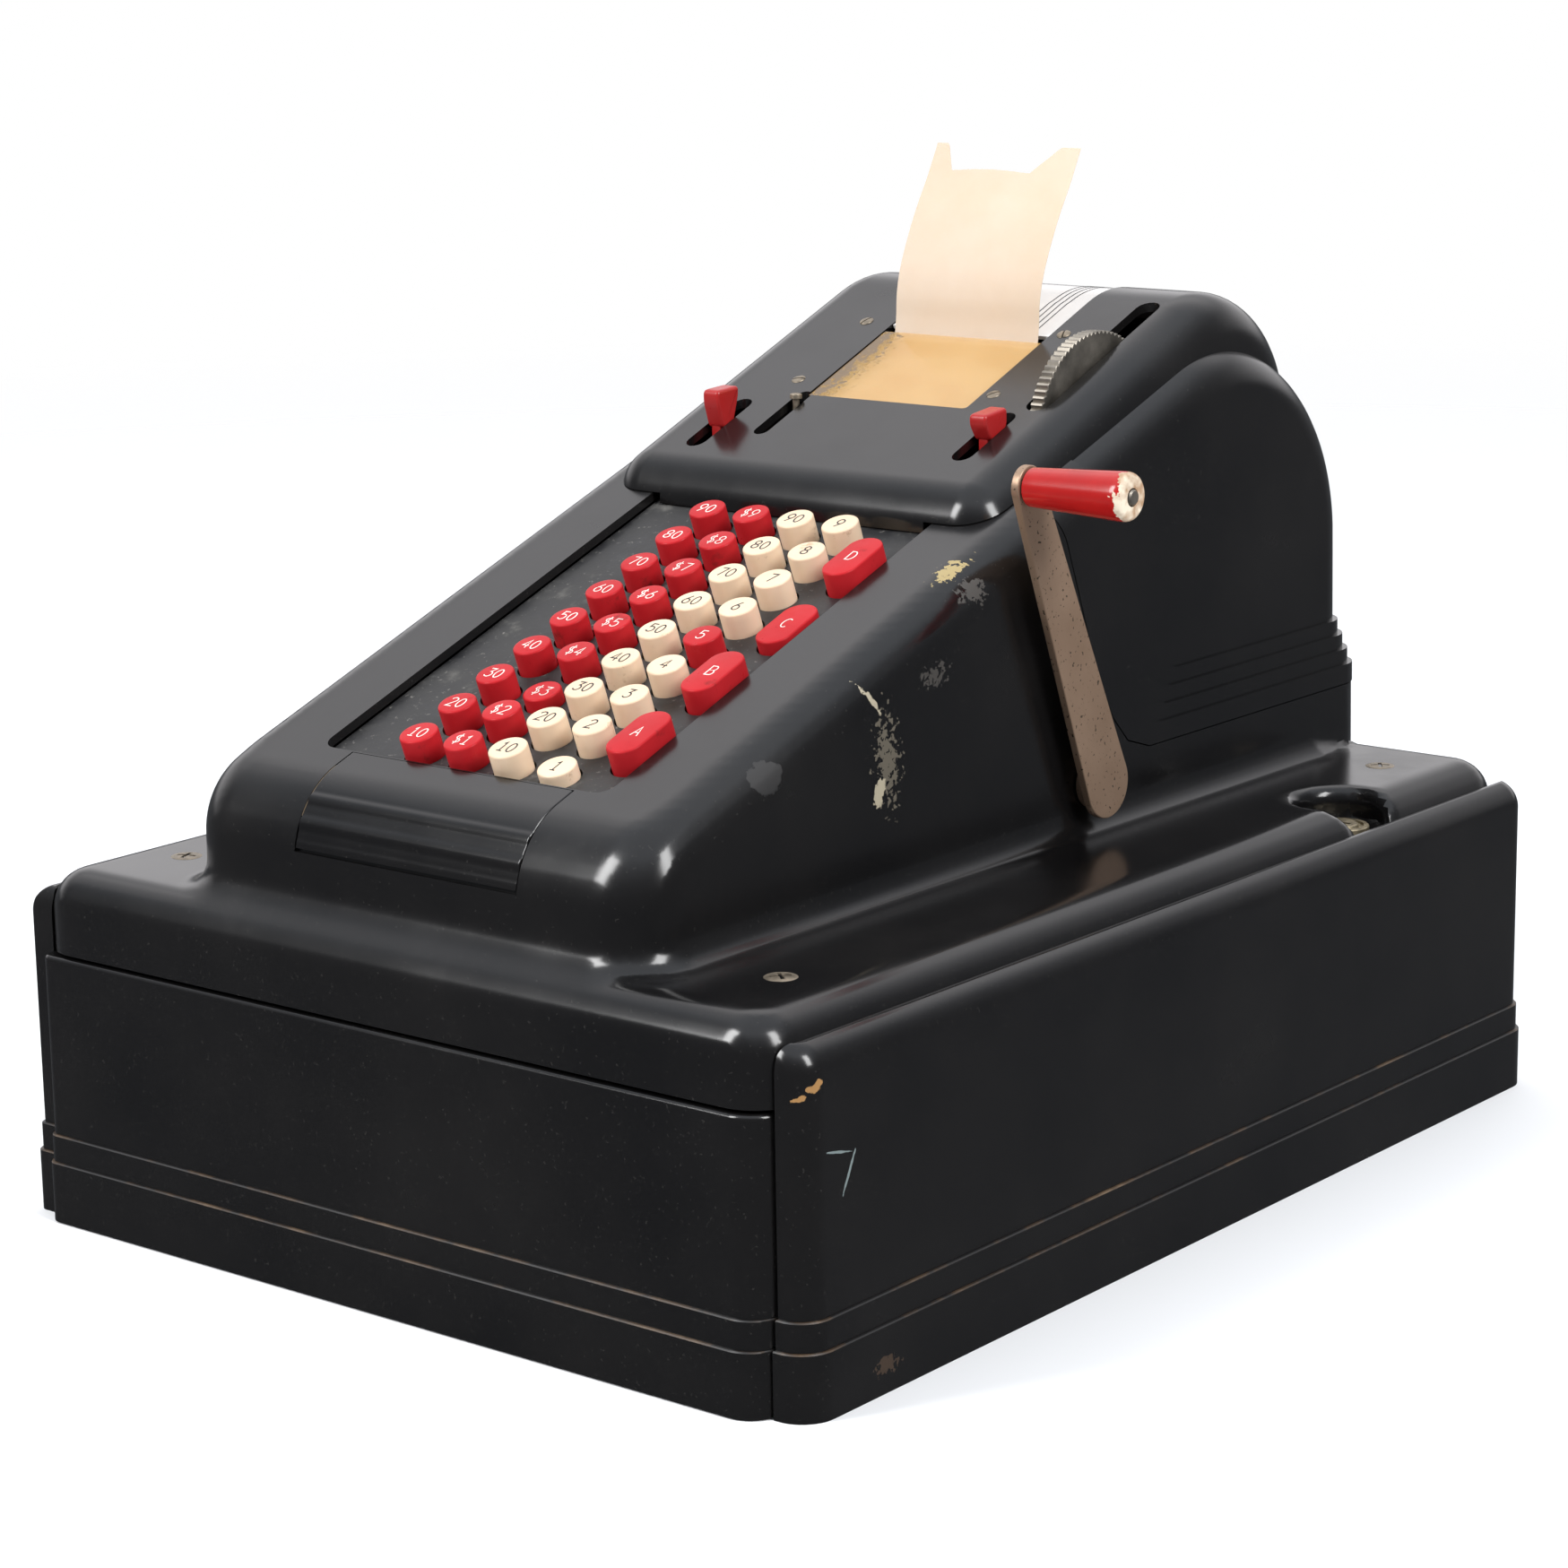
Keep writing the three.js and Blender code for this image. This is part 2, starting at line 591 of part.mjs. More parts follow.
// The keyboard group stands on the slope: its Z is the way the keys travel.
const keyboard = new THREE.Group();
keyboard.position.set(0, KEY_Y + FRONT, KEY_Z);
keyboard.rotation.x = SLOPE;
machine.add(keyboard);
const LATCHED = new Set(["key_c1_r2", "key_c3_r0", "key_oval_c"]);
for (let c = 0; c < COLUMNS; c++) {
  for (let r = 0; r < ROWS; r++) {
    const name = `key_c${c}_r${r}`;
    const red = c < 2 || (c === 3 && r === 4);
    const key = add(name, roundKey(), red ? RED : CREAM, keyboard);
    key.position.set(KEY_X + c * PITCH, r * PITCH, LATCHED.has(name) ? -KEY_LATCH : 0);
  }
}
OVALS.forEach((r, i) => {
  const name = "key_oval_" + "abcd"[i];
  const key = add(name, ovalKey(), RED, keyboard);
  key.position.set(OVAL_X, r * PITCH, LATCHED.has(name) ? -KEY_LATCH : 0);
});

export default machine;
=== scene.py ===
"""Looks for the crank-operated adding machine on its cash drawer base.

Shapes are worked out in millimetres, x from the middle of the machine, y from the
front of the base and z from the floor, and turned into the frame's metres at the end.
"""
import math
import random

import bmesh
import bpy
import numpy as np
from mathutils import Matrix, Vector


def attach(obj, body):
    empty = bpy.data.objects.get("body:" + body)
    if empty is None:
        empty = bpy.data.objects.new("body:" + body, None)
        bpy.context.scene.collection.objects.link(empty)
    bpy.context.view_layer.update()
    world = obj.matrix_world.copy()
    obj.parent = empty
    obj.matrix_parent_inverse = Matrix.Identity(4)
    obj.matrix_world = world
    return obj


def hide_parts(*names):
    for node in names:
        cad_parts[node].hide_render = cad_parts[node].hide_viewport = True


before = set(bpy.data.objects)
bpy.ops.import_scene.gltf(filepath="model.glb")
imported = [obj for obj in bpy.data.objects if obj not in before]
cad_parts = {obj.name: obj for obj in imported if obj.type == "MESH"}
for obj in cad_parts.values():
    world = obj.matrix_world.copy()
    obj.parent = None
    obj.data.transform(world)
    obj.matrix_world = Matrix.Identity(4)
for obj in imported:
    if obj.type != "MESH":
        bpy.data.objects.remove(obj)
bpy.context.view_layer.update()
random.seed(7)

# ---- driving dimensions, millimetres ----
FRONT = -215.0
BASE_HALF = 166.5
BASE_DEPTH = 430.0
PANEL_TOP = 113.0
PANEL_SET_BACK = 7.0
PANEL_CORNER_RIGHT = 11.5
PANEL_CORNER_LEFT = 4.0
PANEL_CORNER_LEAST = 1.2
PANEL_GAP = 0.8
PANEL_ROUND = 9.5  # outwards roll of a panel's top edge
PANEL_INNER_ROUND = 1.6
PANEL_INNER_TOP = 112.9
PANEL_CUT = 112.65  # the roll is closed off flat here, before it narrows to nothing
DRAWER_HALF = 153.0
DRAWER_THICK = 12.0
DRAWER_FOOT = 0.6
DRAWER_CORNER_RIGHT = 11.0
DRAWER_CORNER_LEFT = 4.5
REAR_WALL_THICK = 6.0
REAR_WALL_CORNER = 5.5
REAR_PROUD = 0.15  # the rear wall stands just clear of the cabinet's own, which it covers
WALL_TOP = 92.0
WALL_TOP_ROUND = 1.6
COVER_HALF = 155.5
COVER_FRONT = 3.2
COVER_CORNER = 16.0
COVER_TOP = 120.2
COVER_BOTTOM = 93.2
COVER_ROUND = 13.0
HOUSING_HALF = 97.5
HOUSING_ROUND = 15.0
NOSE = 17.0
NOSE_ROUND = 30.0
REAR = 421.0
REAR_ROUND = 74.0
WALL = 3.0
SLOPE = math.radians(20)
BEZEL_Y, BEZEL_Z = 53.5, 169.5
HOOD_SLOPE = math.radians(22)
HOOD_Y, HOOD_Z = 260.0, 256.0
HOOD_FRONT = 209.5
HOOD_HALF = 84.0
HOOD_ROUND = 16.0
HOOD_STEPS = 4
HOOD_STEP = 1.3
RIB_FIRST, RIB_PITCH = 1.7, 5.3
SLAB_FRONT_ROUND = 17.0
SLAB_REAR_Y, SLAB_REAR_Z, SLAB_REAR_ROUND = 353.2, 241.6, 48.0
PITCH = 19.05
KEY_X, KEY_Y, KEY_Z = -23.6, 51.8, 174.1
KEY_RADIUS = 6.4
KEY_RISE = 4.9
KEY_LATCH = 4.0
PLATE_DROP = 3.6
RECESS = (-60.6, 60.4)
PIVOT_Y, PIVOT_Z = 246.5, 137.5
GRIP_Y, GRIP_Z = 202.0, 243.5
ARM_X, ARM_THICK = 103.0, 3.0
WHEEL_Y, WHEEL_Z, WHEEL_RADIUS = 299.5, 246.2, 35.0
WINDOW = (-33.0, 36.0)
PANE_DROP, PANE_GAP = 0.6, 0.35
PAPER = (-29.5, 33.0)
LOCK_X, LOCK_Y = 141.0, 337.0
TAPER = 0.00015  # moulding draft: the walls lean in by this share of their width a millimetre
TAPER_LEVEL = 170.0  # where the walls have their nominal width
FAR = 200.0  # sideways reach of a cutter that takes in the whole machine
SEAM_GAP = 0.35
SEAM = [
    (231, 232), (236, 219), (241, 205), (247, 188), (254, 170), (261, 157), (270, 147.5), (283, 143.3),
]


def bezel_z(y):
    return BEZEL_Z + (y - BEZEL_Y) * math.tan(SLOPE)


def hood_z(y):
    return HOOD_Z + (y - HOOD_Y) * math.tan(HOOD_SLOPE)


NOSE_Z = bezel_z(NOSE) - NOSE_ROUND * math.tan(math.radians(35))
REAR_Z = bezel_z(REAR) - REAR_ROUND * math.tan(math.radians(55))


def to_frame(points):
    """Millimetres from the base front to the frame's metres."""
    out = np.array(points, dtype=float).reshape(-1, 3)
    out[:, 1] += FRONT
    return out / 1000.0


# ---- mesh helpers ----
def make_object(name, points, faces):
    mesh = bpy.data.meshes.new(name)
    mesh.from_pydata([tuple(p) for p in to_frame(points)], [], [tuple(f) for f in faces])
    mesh.update()
    obj = bpy.data.objects.new(name, mesh)
    bpy.context.scene.collection.objects.link(obj)
    mesh.shade_smooth()
    return obj


def fix_normals(obj):
    work = bmesh.new()
    work.from_mesh(obj.data)
    bmesh.ops.recalc_face_normals(work, faces=work.faces)
    work.to_mesh(obj.data)
    work.free()


def apply_modifiers(obj):
    graph = bpy.context.evaluated_depsgraph_get()
    mesh = bpy.data.meshes.new_from_object(obj.evaluated_get(graph))
    old = obj.data
    obj.modifiers.clear()
    obj.data = mesh
    bpy.data.meshes.remove(old)


def require_closed(obj):
    """A boolean on an open mesh does nothing and says nothing, so it stops here instead."""
    work = bmesh.new()
    work.from_mesh(obj.data)
    open_edges = sum(not edge.is_manifold for edge in work.edges)
    work.free()
    if open_edges or not obj.data.polygons:
        raise ValueError(f"{obj.name} isn't a closed mesh: {open_edges} open edges")


def boolean(obj, cutter, operation="DIFFERENCE"):
    """Cuts or joins two closed meshes, and removes the cutter."""
    require_closed(obj)
    require_closed(cutter)
    modifier = obj.modifiers.new("cut", "BOOLEAN")
    modifier.object = cutter
    modifier.operation = operation
    modifier.solver = "MANIFOLD"
    apply_modifiers(obj)
    bpy.data.objects.remove(cutter)


def crisp(obj, degrees=28.0, weighted=True):
    """Smooth shading that breaks at real edges and keeps flat faces flat."""
    obj.data.shade_smooth()
    obj.data.set_sharp_from_angle(angle=math.radians(degrees))
    if weighted:
        modifier = obj.modifiers.new("weighted", "WEIGHTED_NORMAL")
        modifier.mode = "FACE_AREA_WITH_ANGLE"
        modifier.weight = 50
        modifier.keep_sharp = True


def arc(cy, cz, radius, start, end, steps):
    angles = np.radians(np.linspace(start, end, steps + 1))
    return [(cy + radius * math.cos(a), cz + radius * math.sin(a)) for a in angles]


def inset_loop(points, amount):
    """Moves every side of a counter-clockwise outline inwards by the same amount."""
    count = len(points)
    loop = []
    for i in range(count):
        here = Vector(points[i])
        into = (here - Vector(points[i - 1])).normalized()
        away = (Vector(points[(i + 1) % count]) - here).normalized()
        normal = Vector((-into.y - away.y, into.x + away.x))
        normal = normal / max(1 + into.dot(away), 0.05)
        loop.append(tuple(here + normal * amount))
    return loop


def counter_clockwise(points):
    area = sum(
        points[i - 1][0] * points[i][1] - points[i][0] * points[i - 1][1] for i in range(len(points))
    )
    return list(points) if area > 0 else list(points)[::-1]


def stack(name, loops):
    """A closed solid through loops of 3D points, all with the same number of points."""
    count = len(loops[0])
    points = [p for loop in loops for p in loop]
    faces = [tuple(range(count))[::-1]]
    for k in range(len(loops) - 1):
        for i in range(count):
            j = (i + 1) % count
            faces.append((k * count + i, k * count + j, (k + 1) * count + j, (k + 1) * count + i))
    last = (len(loops) - 1) * count
    faces.append(tuple(range(last, last + count)))
    obj = make_object(name, points, faces)
    fix_normals(obj)
    return obj


def rounded_layers(lo, hi, low_round, high_round, steps):
    """Positions along the extrusion and the inset of the outline at each."""
    layers = []
    turns = np.radians(np.linspace(90, 0, steps + 1))
    if low_round:
        layers += [(lo + low_round * (1 - math.sin(t)), low_round * (1 - math.cos(t))) for t in turns]
    else:
        layers.append((lo, 0.0))
    if high_round:
        layers += [
            (hi - high_round * (1 - math.sin(t)), high_round * (1 - math.cos(t))) for t in turns[::-1]
        ]
    else:
        layers.append((hi, 0.0))
    return layers


def sideways(name, outline, x0, x1, rounds=(0, 0), steps=10):
    """A side outline (y, z) extruded along X with rounded edges."""
    outline = counter_clockwise(outline)
    loops = []
    for x, inset in rounded_layers(x0, x1, rounds[0], rounds[1], steps):
        loops.append([(x, y, z) for y, z in inset_loop(outline, inset)])
    return stack(name, loops)


def standing(name, outline, z0, z1, rounds=(0, 0), steps=8):
    """A plan outline (x, y) extruded upwards with rounded edges."""
    outline = counter_clockwise(outline)
    loops = []
    for z, inset in rounded_layers(z0, z1, rounds[0], rounds[1], steps):
        loops.append([(x, y, z) for x, y in inset_loop(outline, inset)])
    return stack(name, loops)


def turned(name, profile, origin, axis, sides=48):
    """A profile (radius, distance along the axis) turned round an axis; closed at both ends."""
    axis = Vector(axis).normalized()
    across = axis.orthogonal().normalized()
    other = axis.cross(across)
    loops = []
    for radius, along in profile:
        loop = []
        for i in range(sides):
            a = 2 * math.pi * i / sides
            loop.append(
                tuple(Vector(origin) + axis * along + (across * math.cos(a) + other * math.sin(a)) * radius)
            )
        loops.append(loop)
    return stack(name, loops)


def block(name, x0, x1, y0, y1, z0, z1):
    return standing(name, [(x0, y0), (x1, y0), (x1, y1), (x0, y1)], z0, z1)


def join_objects(name, objects):
    """Joins separate meshes into one object, keeping their materials."""
    work = bmesh.new()
    materials = []
    for obj in objects:
        mesh = obj.data
        first = len(work.faces)
        work.from_mesh(mesh)
        work.faces.ensure_lookup_table()
        slots = []
        for material in mesh.materials:
            if material not in materials:
                materials.append(material)
            slots.append(materials.index(material))
        for face in work.faces[first:]:
            face.material_index = slots[face.material_index] if slots else 0
    mesh = bpy.data.meshes.new(name)
    work.to_mesh(mesh)
    work.free()
    for material in materials:
        mesh.materials.append(material)
    for obj in objects:
        bpy.data.objects.remove(obj)
    result = bpy.data.objects.new(name, mesh)
    bpy.context.scene.collection.objects.link(result)
    return result


# ---- distance fields, for the mouldings whose surfaces flow into each other ----
def soft_max(a, b, radius, meet=0.0):
    """The overlap of two solids with its edge a true arc; meet is the cosine between their normals."""
    u, v = a + radius, b + radius
    across = np.sqrt(np.maximum(u**2 + v**2 - 2 * meet * u * v, 0) / (1 - meet**2))
    on_arc = (u > meet * v) & (v > meet * u)
    return np.where(on_arc, across, np.maximum(u, v)) - radius


def soft_min(a, b, radius):
    """Two solids joined with a cove of the given radius."""
    outside = np.maximum(np.minimum(a, b), radius)
    return outside - np.hypot(np.maximum(radius - a, 0), np.maximum(radius - b, 0))


def gradient(field, p, step=0.05):
    out = np.empty_like(p)
    for axis in range(3):
        shift = np.zeros(3)
        shift[axis] = step
        ahead = field(*(p + shift).T)
        behind = field(*(p - shift).T)
        out[:, axis] = (ahead - behind) / (2 * step)
    return out


def skin(field, lo, hi, cell):
    """The zero surface of a distance field as quads, their points moved onto the surface."""
    axes = [np.arange(a, b + cell, cell) for a, b in zip(lo, hi)]
    x, y, z = np.meshgrid(*axes, indexing="ij")
    value = field(x.ravel(), y.ravel(), z.ravel()).reshape(x.shape)
    inside = value < 0
    cells = tuple(n - 1 for n in inside.shape)
    total = np.zeros(cells + (3,))
    hits = np.zeros(cells)
    grid = np.stack([x, y, z], -1)
    crossings = []
    for axis in range(3):
        a = [slice(None)] * 3
        b = [slice(None)] * 3
        a[axis] = slice(0, -1)
        b[axis] = slice(1, None)
        change = inside[tuple(a)] != inside[tuple(b)]
        va, vb = value[tuple(a)], value[tuple(b)]
        share = np.where(change, va / np.where(change, va - vb, 1), 0)
        point = grid[tuple(a)] + share[..., None] * (grid[tuple(b)] - grid[tuple(a)])
        crossings.append((change, inside[tuple(a)]))
        others = [k for k in range(3) if k != axis]
        for du in (0, 1):
            for dv in (0, 1):
                pick = [slice(None)] * 3
                pick[others[0]] = slice(du, du + cells[others[0]])
                pick[others[1]] = slice(dv, dv + cells[others[1]])
                part = change[tuple(pick)]
                total[part] += point[tuple(pick)][part]
                hits[part] += 1
    active = hits > 0
    index = np.full(cells, -1, dtype=int)
    index[active] = np.arange(active.sum())
    points = total[active] / hits[active][:, None]
    for _ in range(4):
        slope = gradient(field, points)
        length = np.maximum((slope**2).sum(1), 1e-6)
        move = np.clip(field(*points.T) / length, -cell, cell)
        points = points - slope * move[:, None]
    faces = []
    for axis, (change, starts_inside) in enumerate(crossings):
        u, v = [(1, 2), (2, 0), (0, 1)][axis]
        i, j, k = np.nonzero(change)
        here = np.stack([i, j, k], -1)
        keep = (here[:, u] > 0) & (here[:, v] > 0)
        keep &= (here[:, u] < cells[u]) & (here[:, v] < cells[v])
        here = here[keep]
        step_u = np.zeros(3, dtype=int)
        step_v = np.zeros(3, dtype=int)
        step_u[u] = 1
        step_v[v] = 1
        corners = [here - step_u - step_v, here - step_v, here, here - step_u]
        quads = np.stack([index[tuple(c.T)] for c in corners], -1)
        flip = ~starts_inside[tuple(here.T)]
        quads[flip] = quads[flip][:, ::-1]
        faces.append(quads)
    return points, np.concatenate(faces)


# ---- materials ----
class NodeTree:
    """A small helper for building the nodes of a material or of the world."""

    def __init__(self, tree):
        self.tree = tree
        self.coords = tree.nodes.new("ShaderNodeTexCoord")

    def add(self, kind, **values):
        node = self.tree.nodes.new(kind)
        for key, value in values.items():
            if key in node.inputs:
                node.inputs[key].default_value = value
            else:
                setattr(node, key, value)
        return node

    def link(self, a, b):
        self.tree.links.new(a, b)

    def noise(self, scale, detail=4.0, roughness=0.55, offset=None):
        node = self.add("ShaderNodeTexNoise")
        node.inputs["Scale"].default_value = scale
        node.inputs["Detail"].default_value = detail
        node.inputs["Roughness"].default_value = roughness
        mapping = self.add("ShaderNodeMapping")
        if offset:
            mapping.inputs["Location"].default_value = offset
        self.link(self.coords.outputs["Object"], mapping.inputs["Vector"])
        self.link(mapping.outputs["Vector"], node.inputs["Vector"])
        return node.outputs["Fac"]

    def ramp(self, value, stops):
        node = self.add("ShaderNodeValToRGB")
        elements = node.color_ramp.elements
        while len(elements) < len(stops):
            elements.new(0.5)
        for element, (place, colour) in zip(elements, stops):
            element.position = place
            if isinstance(colour, (int, float)):
                colour = (colour, colour, colour)
            element.color = (*colour[:3], 1)
        self.link(value, node.inputs["Fac"])
        return node.outputs["Color"]

    def mix(self, factor, a, b):
        node = self.add("ShaderNodeMix", data_type="RGBA")
        for place, value in (("Factor_Float", factor), ("A_Color", a), ("B_Color", b)):
            socket = next(s for s in node.inputs if s.identifier == place)
            if isinstance(value, bpy.types.NodeSocket):
                self.link(value, socket)
            elif place == "Factor_Float":
                socket.default_value = value
            else:
                socket.default_value = (*value[:3], 1)
        return next(s for s in node.outputs if s.identifier == "Result_Color")

    def math(self, operation, a, b=0.0):
        node = self.add("ShaderNodeMath", operation=operation)
        for socket, value in zip(node.inputs, (a, b)):
            if isinstance(value, bpy.types.NodeSocket):
                self.link(value, socket)
            else:
                socket.default_value = value
        return node.outputs[0]


class Nodes(NodeTree):
    """One material."""

    def __init__(self, name):
        self.material = bpy.data.materials.new(name)
        self.material.use_nodes = True
        super().__init__(self.material.node_tree)
        self.shader = self.tree.nodes["Principled BSDF"]

    def spot(self, centre, size, turn=(0, 0, 0), raggedness=0.9):
        """A ragged patch: one inside an ellipsoid (millimetres from the base front), nought outside."""
        place = self.add("ShaderNodeMapping", vector_type="TEXTURE")
        place.inputs["Location"].default_value = to_frame([centre])[0]
        place.inputs["Rotation"].default_value = [math.radians(a) for a in turn]
        place.inputs["Scale"].default_value = [a / 1000 for a in size]
        self.link(self.coords.outputs["Object"], place.inputs["Vector"])
        length = self.add("ShaderNodeVectorMath", operation="LENGTH")
        self.link(place.outputs["Vector"], length.inputs[0])
        torn = self.math("MULTIPLY", self.math("SUBTRACT", self.noise(420, 4, 0.6), 0.5), raggedness * 4)
        edge = self.math("ADD", length.outputs["Value"], torn)
        return self.ramp(edge, [(0.86, 1.0), (0.96, 0.0)])

    def bump(self, height, strength, distance=0.0002):
        node = self.add("ShaderNodeBump")
        node.inputs["Strength"].default_value = strength
        node.inputs["Distance"].default_value = distance
        self.link(height, node.inputs["Height"])
        self.link(node.outputs["Normal"], self.shader.inputs["Normal"])

    def set(self, **values):
        for key, value in values.items():
            socket = self.shader.inputs[key.replace("_", " ")]
            if isinstance(value, bpy.types.NodeSocket):
                self.link(value, socket)
            elif socket.type == "RGBA":
                socket.default_value = (*value, 1)
            else:
                socket.default_value = value


def enamel(name, marks=()):
    """Gloss black with fine dust; marks are worn spots, each a place, a size, a turn and its look."""
    n = Nodes(name)
    smear = n.noise(14, 6)
    fine = n.noise(160, 3)
    dust = n.ramp(n.noise(900, 2, 0.5), [(0.66, 0.0), (0.74, 0.5)])
    colour = n.ramp(smear, [(0.35, (0.0045, 0.0043, 0.0046)), (0.7, (0.0085, 0.0078, 0.0076))])
    colour = n.mix(dust, colour, (0.035, 0.033, 0.03))
    rough = n.ramp(smear, [(0.3, 0.15), (0.55, 0.2), (0.78, 0.33)])
    relief = fine
    for centre, size, turn, paint, sharpness in marks:
        spot = n.spot(centre, size, turn, sharpness)
        colour = n.mix(spot, colour, paint)
        rough = n.mix(spot, rough, (0.55, 0.55, 0.55))
        relief = n.math("ADD", relief, n.math("MULTIPLY", spot, 2.0))
    n.set(Base_Color=colour, Roughness=rough, IOR=1.5)
    n.bump(relief, 0.05, 0.00006)
    return n.material


def worn_enamel():
    """Step edges, where the black has rubbed through to brown."""
    n = Nodes("worn_enamel")
    patch = n.noise(30, 8, 0.7)
    stops = [(0.48, (0.012, 0.011, 0.011)), (0.56, (0.055, 0.033, 0.018)), (0.72, (0.16, 0.105, 0.06))]
    brown = n.ramp(patch, stops)
    n.set(Base_Color=brown, Roughness=0.4)
    return n.material


def dusty_plate():
    n = Nodes("key_plate")
    dust = n.noise(55, 8, 0.7)
    grit = n.noise(420, 4, 0.7)
    stops = [(0.38, (0.012, 0.012, 0.013)), (0.58, (0.032, 0.031, 0.03)), (0.74, (0.12, 0.115, 0.105))]
    base = n.ramp(dust, stops)
    speck = n.ramp(grit, [(0.62, 0.0), (0.72, 1.0)])
    n.set(Base_Color=n.mix(speck, base, (0.16, 0.15, 0.135)))
    n.set(Roughness=n.ramp(dust, [(0.35, 0.38), (0.7, 0.75)]))
    n.bump(grit, 0.25)
    return n.material


def key_plastic(name, colour, stain, stain_start, gloss=0.5):
    n = Nodes(name)
    dirt = n.noise(110, 7, 0.7)
    shade = n.ramp(n.noise(40, 3), [(0.3, tuple(c * 0.86 for c in colour)), (0.7, colour)])
    mark = n.ramp(dirt, [(stain_start, 0.0), (stain_start + 0.14, 0.85)])
    n.set(Base_Color=n.mix(mark, shade, stain))
    n.set(Roughness=n.ramp(dirt, [(0.3, 0.24), (0.75, 0.5)]), IOR=1.5, Specular_IOR_Level=gloss)
    n.set(Subsurface_Weight=0.08, Subsurface_Radius=(0.004, 0.002, 0.001), Subsurface_Scale=0.3)
    n.bump(dirt, 0.08)
    return n.material


def plain(name, colour, roughness, metallic=0.0, variation=0.25, scale=60, bump=0.05):
    n = Nodes(name)
    spots = n.noise(scale, 6, 0.65)
    low = tuple(c * (1 - variation) for c in colour)
    high = tuple(min(c * (1 + variation), 1) for c in colour)
    n.set(Base_Color=n.ramp(spots, [(0.3, low), (0.7, high)]), Metallic=metallic)
    n.set(Roughness=n.ramp(spots, [(0.3, roughness * 0.8), (0.7, min(roughness * 1.25, 1))]))
    n.bump(spots, bump)
    return n.material


def pitted_nickel():
    """Dull nickel plate with many small dark pits."""
    n = Nodes("pitted_nickel")
    tone = n.noise(24, 5, 0.6)
    pits = n.noise(700, 2, 0.5)
    base = n.ramp(tone, [(0.3, (0.32, 0.21, 0.14)), (0.7, (0.44, 0.30, 0.21))])
    mark = n.ramp(pits, [(0.64, 0.0), (0.7, 1.0)])
    n.set(Base_Color=n.mix(mark, base, (0.085, 0.06, 0.04)), Metallic=0.6)
    n.set(Roughness=n.mix(mark, (0.42, 0.42, 0.42), (0.8, 0.8, 0.8)))
    n.bump(pits, 0.15)
    return n.material


def chipped_red():
    """Red enamel on the grip, chipped to cream near its outer end."""
    n = Nodes("chipped_red")
    split = n.add("ShaderNodeSeparateXYZ")
    n.link(n.coords.outputs["Object"], split.inputs["Vector"])
    ragged = n.math("MULTIPLY", n.math("SUBTRACT", n.noise(130, 5, 0.65), 0.5), 0.012)
    edge = n.math("ADD", split.outputs["X"], ragged)
    chip = n.ramp(n.math("MULTIPLY", n.math("SUBTRACT", edge, 0.1425), 900.0), [(0.4, 0.0), (0.6, 1.0)])
    nick = n.ramp(n.noise(260, 3, 0.6, offset=(3, 1, 2)), [(0.715, 0.0), (0.73, 1.0)])
    both = n.math("MAXIMUM", chip, nick)
    red = n.ramp(n.noise(60, 4), [(0.3, (0.36, 0.008, 0.008)), (0.7, (0.47, 0.014, 0.012))])
    cream = n.ramp(n.noise(190, 4), [(0.35, (0.42, 0.26, 0.15)), (0.6, (0.8, 0.7, 0.55))])
    n.set(Base_Color=n.mix(both, red, cream), Roughness=n.mix(both, (0.2, 0.2, 0.2), (0.55, 0.55, 0.55)))
    n.bump(both, 0.4)
    return n.material


def paper_look():
    n = Nodes("paper")
    tone = n.noise(18, 6, 0.6)
    fibre = n.noise(900, 3, 0.6)
    n.set(Base_Color=n.ramp(tone, [(0.3, (0.67, 0.51, 0.37)), (0.72, (0.74, 0.60, 0.48))]), Roughness=0.85)
    n.set(Subsurface_Weight=0.15, Subsurface_Radius=(0.002, 0.0015, 0.001), Subsurface_Scale=0.4)
    n.bump(fibre, 0.12)
    return n.material


def amber_film():
    """Yellowed clear celluloid, cloudy, with grime along its left edge."""
    n = Nodes("amber_window")
    cloud = n.noise(35, 7, 0.65)
    tint = n.ramp(cloud, [(0.35, (0.67, 0.39, 0.11)), (0.7, (0.75, 0.49, 0.18))])
    dirt = n.spot((-35, 285, 262), (9, 60, 40), (0, 0, 0), 1.0)
    n.set(Base_Color=n.mix(dirt, tint, (0.16, 0.10, 0.045)))
    n.set(Roughness=n.ramp(cloud, [(0.35, 0.08), (0.75, 0.3)]))
    n.set(Alpha=n.mix(dirt, (0.42, 0.42, 0.42), (0.9, 0.9, 0.9)))
    return n.material


TAN_CHIP = (0.33, 0.17, 0.05)
PAINT = (0.40, 0.31, 0.14)
TAPE = (0.40, 0.35, 0.25)
TAPE_WORN = (0.11, 0.095, 0.07)
TAPE_FILM = (0.020, 0.019, 0.019)
SCUFF = (0.05, 0.045, 0.04)
PALE_SCRATCH = (0.16, 0.20, 0.20)
BLACK = enamel("black_enamel")
PANEL_BLACK = enamel("panel_enamel", [
    ((163.0, 15.5, 100.8), (6, 3.2, 1.5), (25, 0, 0), TAN_CHIP, 0.5),
    ((163.5, 11.5, 97.6), (6, 2.0, 0.8), (35, 0, 0), TAN_CHIP, 0.8),
    ((164.3, 24.5, 79.0), (6, 6.2, 0.45), (-12, 0, 0), PALE_SCRATCH, 0.35),
    ((164.3, 29.6, 71.5), (6, 0.55, 7.6), (-26, 0, 0), PALE_SCRATCH, 0.35),
    ((166.5, 43.5, 9.0), (6, 5.5, 2.4), (0, 0, 0), (0.05, 0.03, 0.018), 0.9),
])
